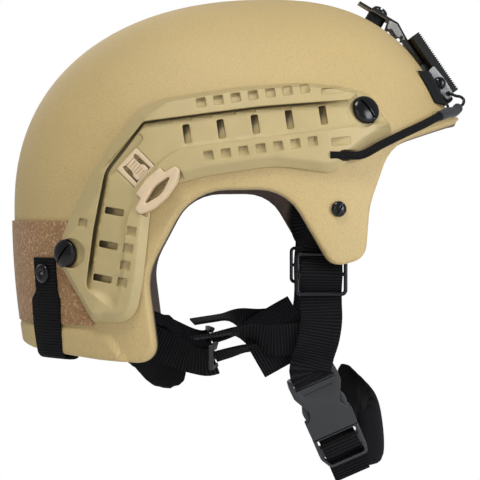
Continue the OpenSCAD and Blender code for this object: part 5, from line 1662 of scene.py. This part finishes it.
def build_bracket():
    """Rubber base, plate, bent arm, spacer, screws and links."""
    crown, plate_at = crown_frame(), plate_frame()
    line = [(2.7, 0.6), (5.8, 0.6), (6.2, 1.0), (6.2, SPACER_H - 0.4), (5.8, SPACER_H), (2.7, SPACER_H), (2.7, 0.6)]
    spacer = turned("spacer", line, 48)
    finished(place(spacer, crown), "bracket_spacer", "bush", "rubber")
    screw = slotted_screw("bracket_screw", 11, 4.2, 1.4, 5, 0)
    shifted(screw, 0, 0, SPACER_H + ARM_T + 0.2)
    low, high = -sizes().wall - 4.4, SPACER_H + ARM_T + 0.25
    shank = turned("shank", [(0, low), (2.5, low), (2.5, high), (0, high)], 32)
    screw = place(joined("bracket_screw", [screw, shank]), crown)
    finished(screw, "bracket_screw", "body", "screw", smooth=30)
    nut = shifted(washer("nut", 13, 5.3, 1.6), 0, 0, -sizes().wall - 2.8)
    finished(place(nut, crown), "bracket_nut", "ring", "plated")

    top = SPACER_H + ARM_T / 2
    front = PLATE_T + 1.2
    line = [crown_place(6, top), crown_place(-7, top), plate_place(6, 12.5), plate_place(front, 1),
            plate_place(front, -19)]
    strap = folded_strip("arm", line, ARM_W, ARM_T)
    finger = folded_strip("finger", [crown_place(15, top), crown_place(-6, top)], 12, ARM_T)
    line = [crown_place(-8, SPACER_H), plate_place(6.2, 12.4), plate_place(PLATE_T + 1, 1), plate_place(8.4, 1),
            plate_place(11.2, 6), plate_place(11, 12), crown_place(-9.5, 1)]
    sides = [flange("flange", line, s * (ARM_W / 2 - ARM_T / 2), ARM_T) for s in (-1, 1)]
    # The arm's flanges and its downward faces take the grey: painted reflection on the one black steel sheet.
    for obj in (strap, finger, *sides):
        obj.data.materials.clear()
        for look in ("black_steel", "coated_steel"):
            obj.data.materials.append(finish(look))
        for face in obj.data.polygons:
            face.material_index = 1 if obj in sides or face.normal.z < -0.35 else 0
    arm = joined("arm", [strap, finger, *sides])
    hole = cross_pin(*plate_place(9, 3.6), 2.6)
    hole.data.materials.append(finish("coated_steel"))
    modify(arm, "BOOLEAN", object=hole, operation="DIFFERENCE", solver="EXACT", use_self=True)
    bpy.data.objects.remove(hole)
    finished(arm, "bracket_arm", "plate", None, smooth=30)

    box = slab("plate", [(0, 0, 1), (PLATE_T, 0, 1), (PLATE_T, -PLATE_L, 1), (0, -PLATE_L, 1)], PLATE_W, bevel=0.4)
    pitch = 1.5
    edge_x = PLATE_W / 2 - 2
    teeth = [block((s * edge_x - 2.5, -1, -i * pitch), (s * edge_x + 2.5, 1, -i * pitch + pitch / 2))
             for s in (-1, 1) for i in range(1, int(PLATE_L / pitch))]
    cut(box, *teeth)
    cut(box, block((-15, -1, -PLATE_L + 8), (15, 3.2, -8)))
    cut(box, block((-11, -1, -PLATE_L - 1), (11, 3.2, -PLATE_L + 9)))
    ease(box, 0.12, 1, 50)
    finished(place(box, plate_at), "bracket_plate", "block", "black_steel", smooth=30)

    pad = plain_copy("bracket_pad", "pad")
    cut(pad, block((-60, -190, -20.5), (60, -60, 0)))
    modify(pad, "DECIMATE", decimate_type="DISSOLVE", angle_limit=math.radians(1.5))
    ease(pad, 1.4, 3, 30)
    finished(pad, "bracket_pad", "rubber", "rubber", smooth=40)

    link = slab("link", LINK_LINE, LINK_T, bevel=0)
    for (y, z), d in ((LINK_PIN, 4.4), (HOOK_PIN, 3.2)):
        cut(link, cross_pin(y, z, d))
    shifted(ease(link, 0.3, 2, 45), PLATE_W / 2 + 0.3 + LINK_T / 2, 0, 0)
    # The links take the same grey: painted reflection on their flat black steel.
    finished(both_sides(place(link, plate_at)), "side_links", "plate", "coated_steel", smooth=30)
    screw = place(spun(slotted_screw("link_screw", 8.4, 3.6, 1.2, 4, 14), 30), SIDEWAYS)
    shifted(screw, PLATE_W / 2 + 0.3 + LINK_T + 0.2, *LINK_PIN)
    finished(both_sides(place(screw, plate_at)), "link_screws", "body", "screw", smooth=30)


# Stretch cords from the rails to the bracket, with their shrink sleeves and wire hooks
CORD = [(119.4, -53, -76.3), (118.2, -58, -76.3), (117, -63, -76.3), (114.5, -73, -75.8), (108, -85, -69.6),
        (97, -100, -62.4), (85.6, -113, -56.4), (70.5, -125, -50.4)]
SLEEVE = [(70.2, -125.3, -50.2), (55, -133.6, -47.2), (46, -138, -46.2), (39.5, -141.4, -43.4)]
HOOK = [(39, -141.7, -43), (37, -144.8, -41), (35.4, -145.6, -38), (34.4, -143.6, -36), (34, -140.6, -35.4)]


def build_cords():
    """The cords with their sleeves and hooks."""
    line = tube("cord", smooth_route(CORD, 8), sizes().cord_diameter, 20)
    pair(line, "cord_*", "sheath", "cord", smooth=60)
    sleeve = tube("sleeve", smooth_route(SLEEVE, 8), sizes().cord_diameter + 1.4, 24)
    ease(sleeve, 0.5, 2, 50)
    finished(both_sides(sleeve), "cord_sleeves", "tube", "sleeve", smooth=50)
    end = plate_place(*HOOK_PIN)
    hook = tube("hook", smooth_route(HOOK + [(33.4, *end), (28.6, *end)], 6), 1.9, 16)
    finished(both_sides(hook), "cord_hooks", "wire", "wire", smooth=60)


# The stage: a pale floor and backdrop, soft studio light and the camera
CAMERA_AT, TARGET = Vector((-1199.3, 32.3, -111.5)), Vector((0, -3.3, -128.25))
FIELD_OF_VIEW = 15.0
FLOOR_DROP = 0.12


def build_stage():
    """The floor, the world, four soft lights and the camera."""
    low = cad_box[0][2] - FLOOR_DROP
    scene = bpy.context.scene
    deselect()
    bpy.ops.mesh.primitive_plane_add(size=12, location=(0, 0, low))
    floor = bpy.context.object
    floor.name = "floor"
    material, tree, bsdf = started("Pale floor")
    tree.nodes.remove(bsdf)
    glow = add(tree, "ShaderNodeEmission", {"Color": (1, 1, 1, 1), "Strength": 1.0})
    soft = add(tree, "ShaderNodeBsdfDiffuse", {"Color": (0.9, 0.9, 0.9, 1)})
    seen = add(tree, "ShaderNodeLightPath").outputs["Is Camera Ray"]
    pick = add(tree, "ShaderNodeMixShader", {0: seen, 1: soft.outputs[0], 2: glow.outputs[0]})
    tree.links.new(pick.outputs[0], tree.nodes["Material Output"].inputs["Surface"])
    floor.data.materials.append(material)
    world = bpy.data.worlds.new("Studio")
    scene.world = world
    world.use_nodes = True
    tree = world.node_tree
    tree.nodes.clear()
    path = add(tree, "ShaderNodeLightPath")
    seen = path.outputs["Is Camera Ray"]
    white = add(tree, "ShaderNodeBackground", {"Color": (1, 1, 1, 1), "Strength": 1.0})
    room = add(tree, "ShaderNodeBackground", {"Color": (0.96, 0.98, 1.0, 1), "Strength": 0.4})
    mix = add(tree, "ShaderNodeMixShader", {0: seen, 1: room.outputs[0], 2: white.outputs[0]})
    out = add(tree, "ShaderNodeOutputWorld")
    tree.links.new(mix.outputs[0], out.inputs["Surface"])

    target = TARGET * MM

    def lamp(name, place_at, size, power, tone=(1, 1, 1)):
        data = bpy.data.lights.new(name, "AREA")
        data.shape = "RECTANGLE"
        data.size, data.size_y = size
        data.energy = power
        data.color = tone
        obj = bpy.data.objects.new(name, data)
        scene.collection.objects.link(obj)
        obj.location = place_at
        obj.rotation_euler = (target - Vector(place_at)).to_track_quat("-Z", "Y").to_euler()
        return obj

    lamps = [
        lamp("key_light", (-0.75, 0.3, 1.15), (0.5, 0.4), 12.6, (1, 0.985, 0.94)),
        lamp("front_light", (-1.0, -1.15, 0.15), (0.6, 0.8), 14.5, (0.97, 1, 1.07)),
        lamp("side_light", (-1.5, 0.35, 0.15), (0.8, 0.9), 2.5),
        lamp("far_light", (1.2, 0.6, 0.6), (1.0, 1.0), 5),
    ]
    data = bpy.data.cameras.new("camera")
    data.sensor_width = 36
    data.lens = 18 / math.tan(math.radians(FIELD_OF_VIEW) / 2)
    data.clip_end = 30
    camera = bpy.data.objects.new("camera", data)
    scene.collection.objects.link(camera)
    camera.location = CAMERA_AT * MM
    camera.rotation_euler = (target - camera.location).to_track_quat("-Z", "Y").to_euler()
    scene.camera = camera
    scene.render.resolution_x = scene.render.resolution_y = 480
    scene.render.resolution_percentage = 100
    scene.view_settings.view_transform = "Standard"


# Buttons: one for each group of pieces and one for the stage
class HELMET_OT_shell(bpy.types.Operator):
    """Build the shell and its loop fabric"""
    bl_idname = "helmet.shell"
    bl_label = "Shell"

    def execute(self, context):
        build_shell()
        build_loop_panel()
        return {"FINISHED"}


class HELMET_OT_rails(bpy.types.Operator):
    """Build the rails"""
    bl_idname = "helmet.rails"
    bl_label = "Rails"

    def execute(self, context):
        build_rail()
        return {"FINISHED"}


class HELMET_OT_clips(bpy.types.Operator):
    """Build the sliding clips and their tongues"""
    bl_idname = "helmet.clips"
    bl_label = "Clips"

    def execute(self, context):
        build_clips()
        return {"FINISHED"}


class HELMET_OT_screws(bpy.types.Operator):
    """Build the screws, nuts and snaps"""
    bl_idname = "helmet.screws"
    bl_label = "Screws and snaps"

    def execute(self, context):
        build_screws()
        return {"FINISHED"}


class HELMET_OT_harness(bpy.types.Operator):
    """Build the straps, glides and sliders"""
    bl_idname = "helmet.harness"
    bl_label = "Harness"

    def execute(self, context):
        build_straps()
        build_glides()
        return {"FINISHED"}


class HELMET_OT_buckle(bpy.types.Operator):
    """Build the side-release buckle"""
    bl_idname = "helmet.buckle"
    bl_label = "Buckle"

    def execute(self, context):
        build_buckle()
        return {"FINISHED"}


class HELMET_OT_pads(bpy.types.Operator):
    """Build the comfort pads, the nape pad and the chin cup"""
    bl_idname = "helmet.pads"
    bl_label = "Pads"

    def execute(self, context):
        build_pads()
        return {"FINISHED"}


class HELMET_OT_bracket(bpy.types.Operator):
    """Build the night-vision bracket"""
    bl_idname = "helmet.bracket"
    bl_label = "Bracket"

    def execute(self, context):
        build_bracket()
        return {"FINISHED"}


class HELMET_OT_cords(bpy.types.Operator):
    """Build the stretch cords with their sleeves and hooks"""
    bl_idname = "helmet.cords"
    bl_label = "Cords"

    def execute(self, context):
        build_cords()
        return {"FINISHED"}


class HELMET_OT_stage(bpy.types.Operator):
    """Set up the floor, the lights and the camera"""
    bl_idname = "helmet.stage"
    bl_label = "Stage"

    def execute(self, context):
        build_stage()
        return {"FINISHED"}


class HELMET_PT_panel(bpy.types.Panel):
    """Sizes, colours and buttons of the helmet"""
    bl_idname = "HELMET_PT_panel"
    bl_label = "Combat helmet"
    bl_space_type = "VIEW_3D"
    bl_region_type = "UI"
    bl_category = "Helmet"

    def draw(self, context):
        layout = self.layout
        for group in (context.scene.helmet_sizes, context.scene.helmet_colours):
            box = layout.box()
            for key in group.__annotations__:
                box.prop(group, key)
        for kind in OPERATORS:
            layout.operator(kind.bl_idname)


OPERATORS = (
    HELMET_OT_shell, HELMET_OT_rails, HELMET_OT_clips, HELMET_OT_screws, HELMET_OT_harness,
    HELMET_OT_buckle, HELMET_OT_pads, HELMET_OT_bracket, HELMET_OT_cords, HELMET_OT_stage,
)
CLASSES = (HelmetSizes, HelmetColours, *OPERATORS, HELMET_PT_panel)


def register():
    for kind in CLASSES:
        bpy.utils.register_class(kind)
    bpy.types.Scene.helmet_sizes = bpy.props.PointerProperty(type=HelmetSizes)
    bpy.types.Scene.helmet_colours = bpy.props.PointerProperty(type=HelmetColours)


def unregister():
    del bpy.types.Scene.helmet_colours
    del bpy.types.Scene.helmet_sizes
    for kind in reversed(CLASSES):
        bpy.utils.unregister_class(kind)


def main():
    register()
    for step in ("shell", "rails", "clips", "screws", "harness", "buckle", "pads", "bracket", "cords", "stage"):
        getattr(bpy.ops.helmet, step)()


if __name__ == "__main__":
    main()
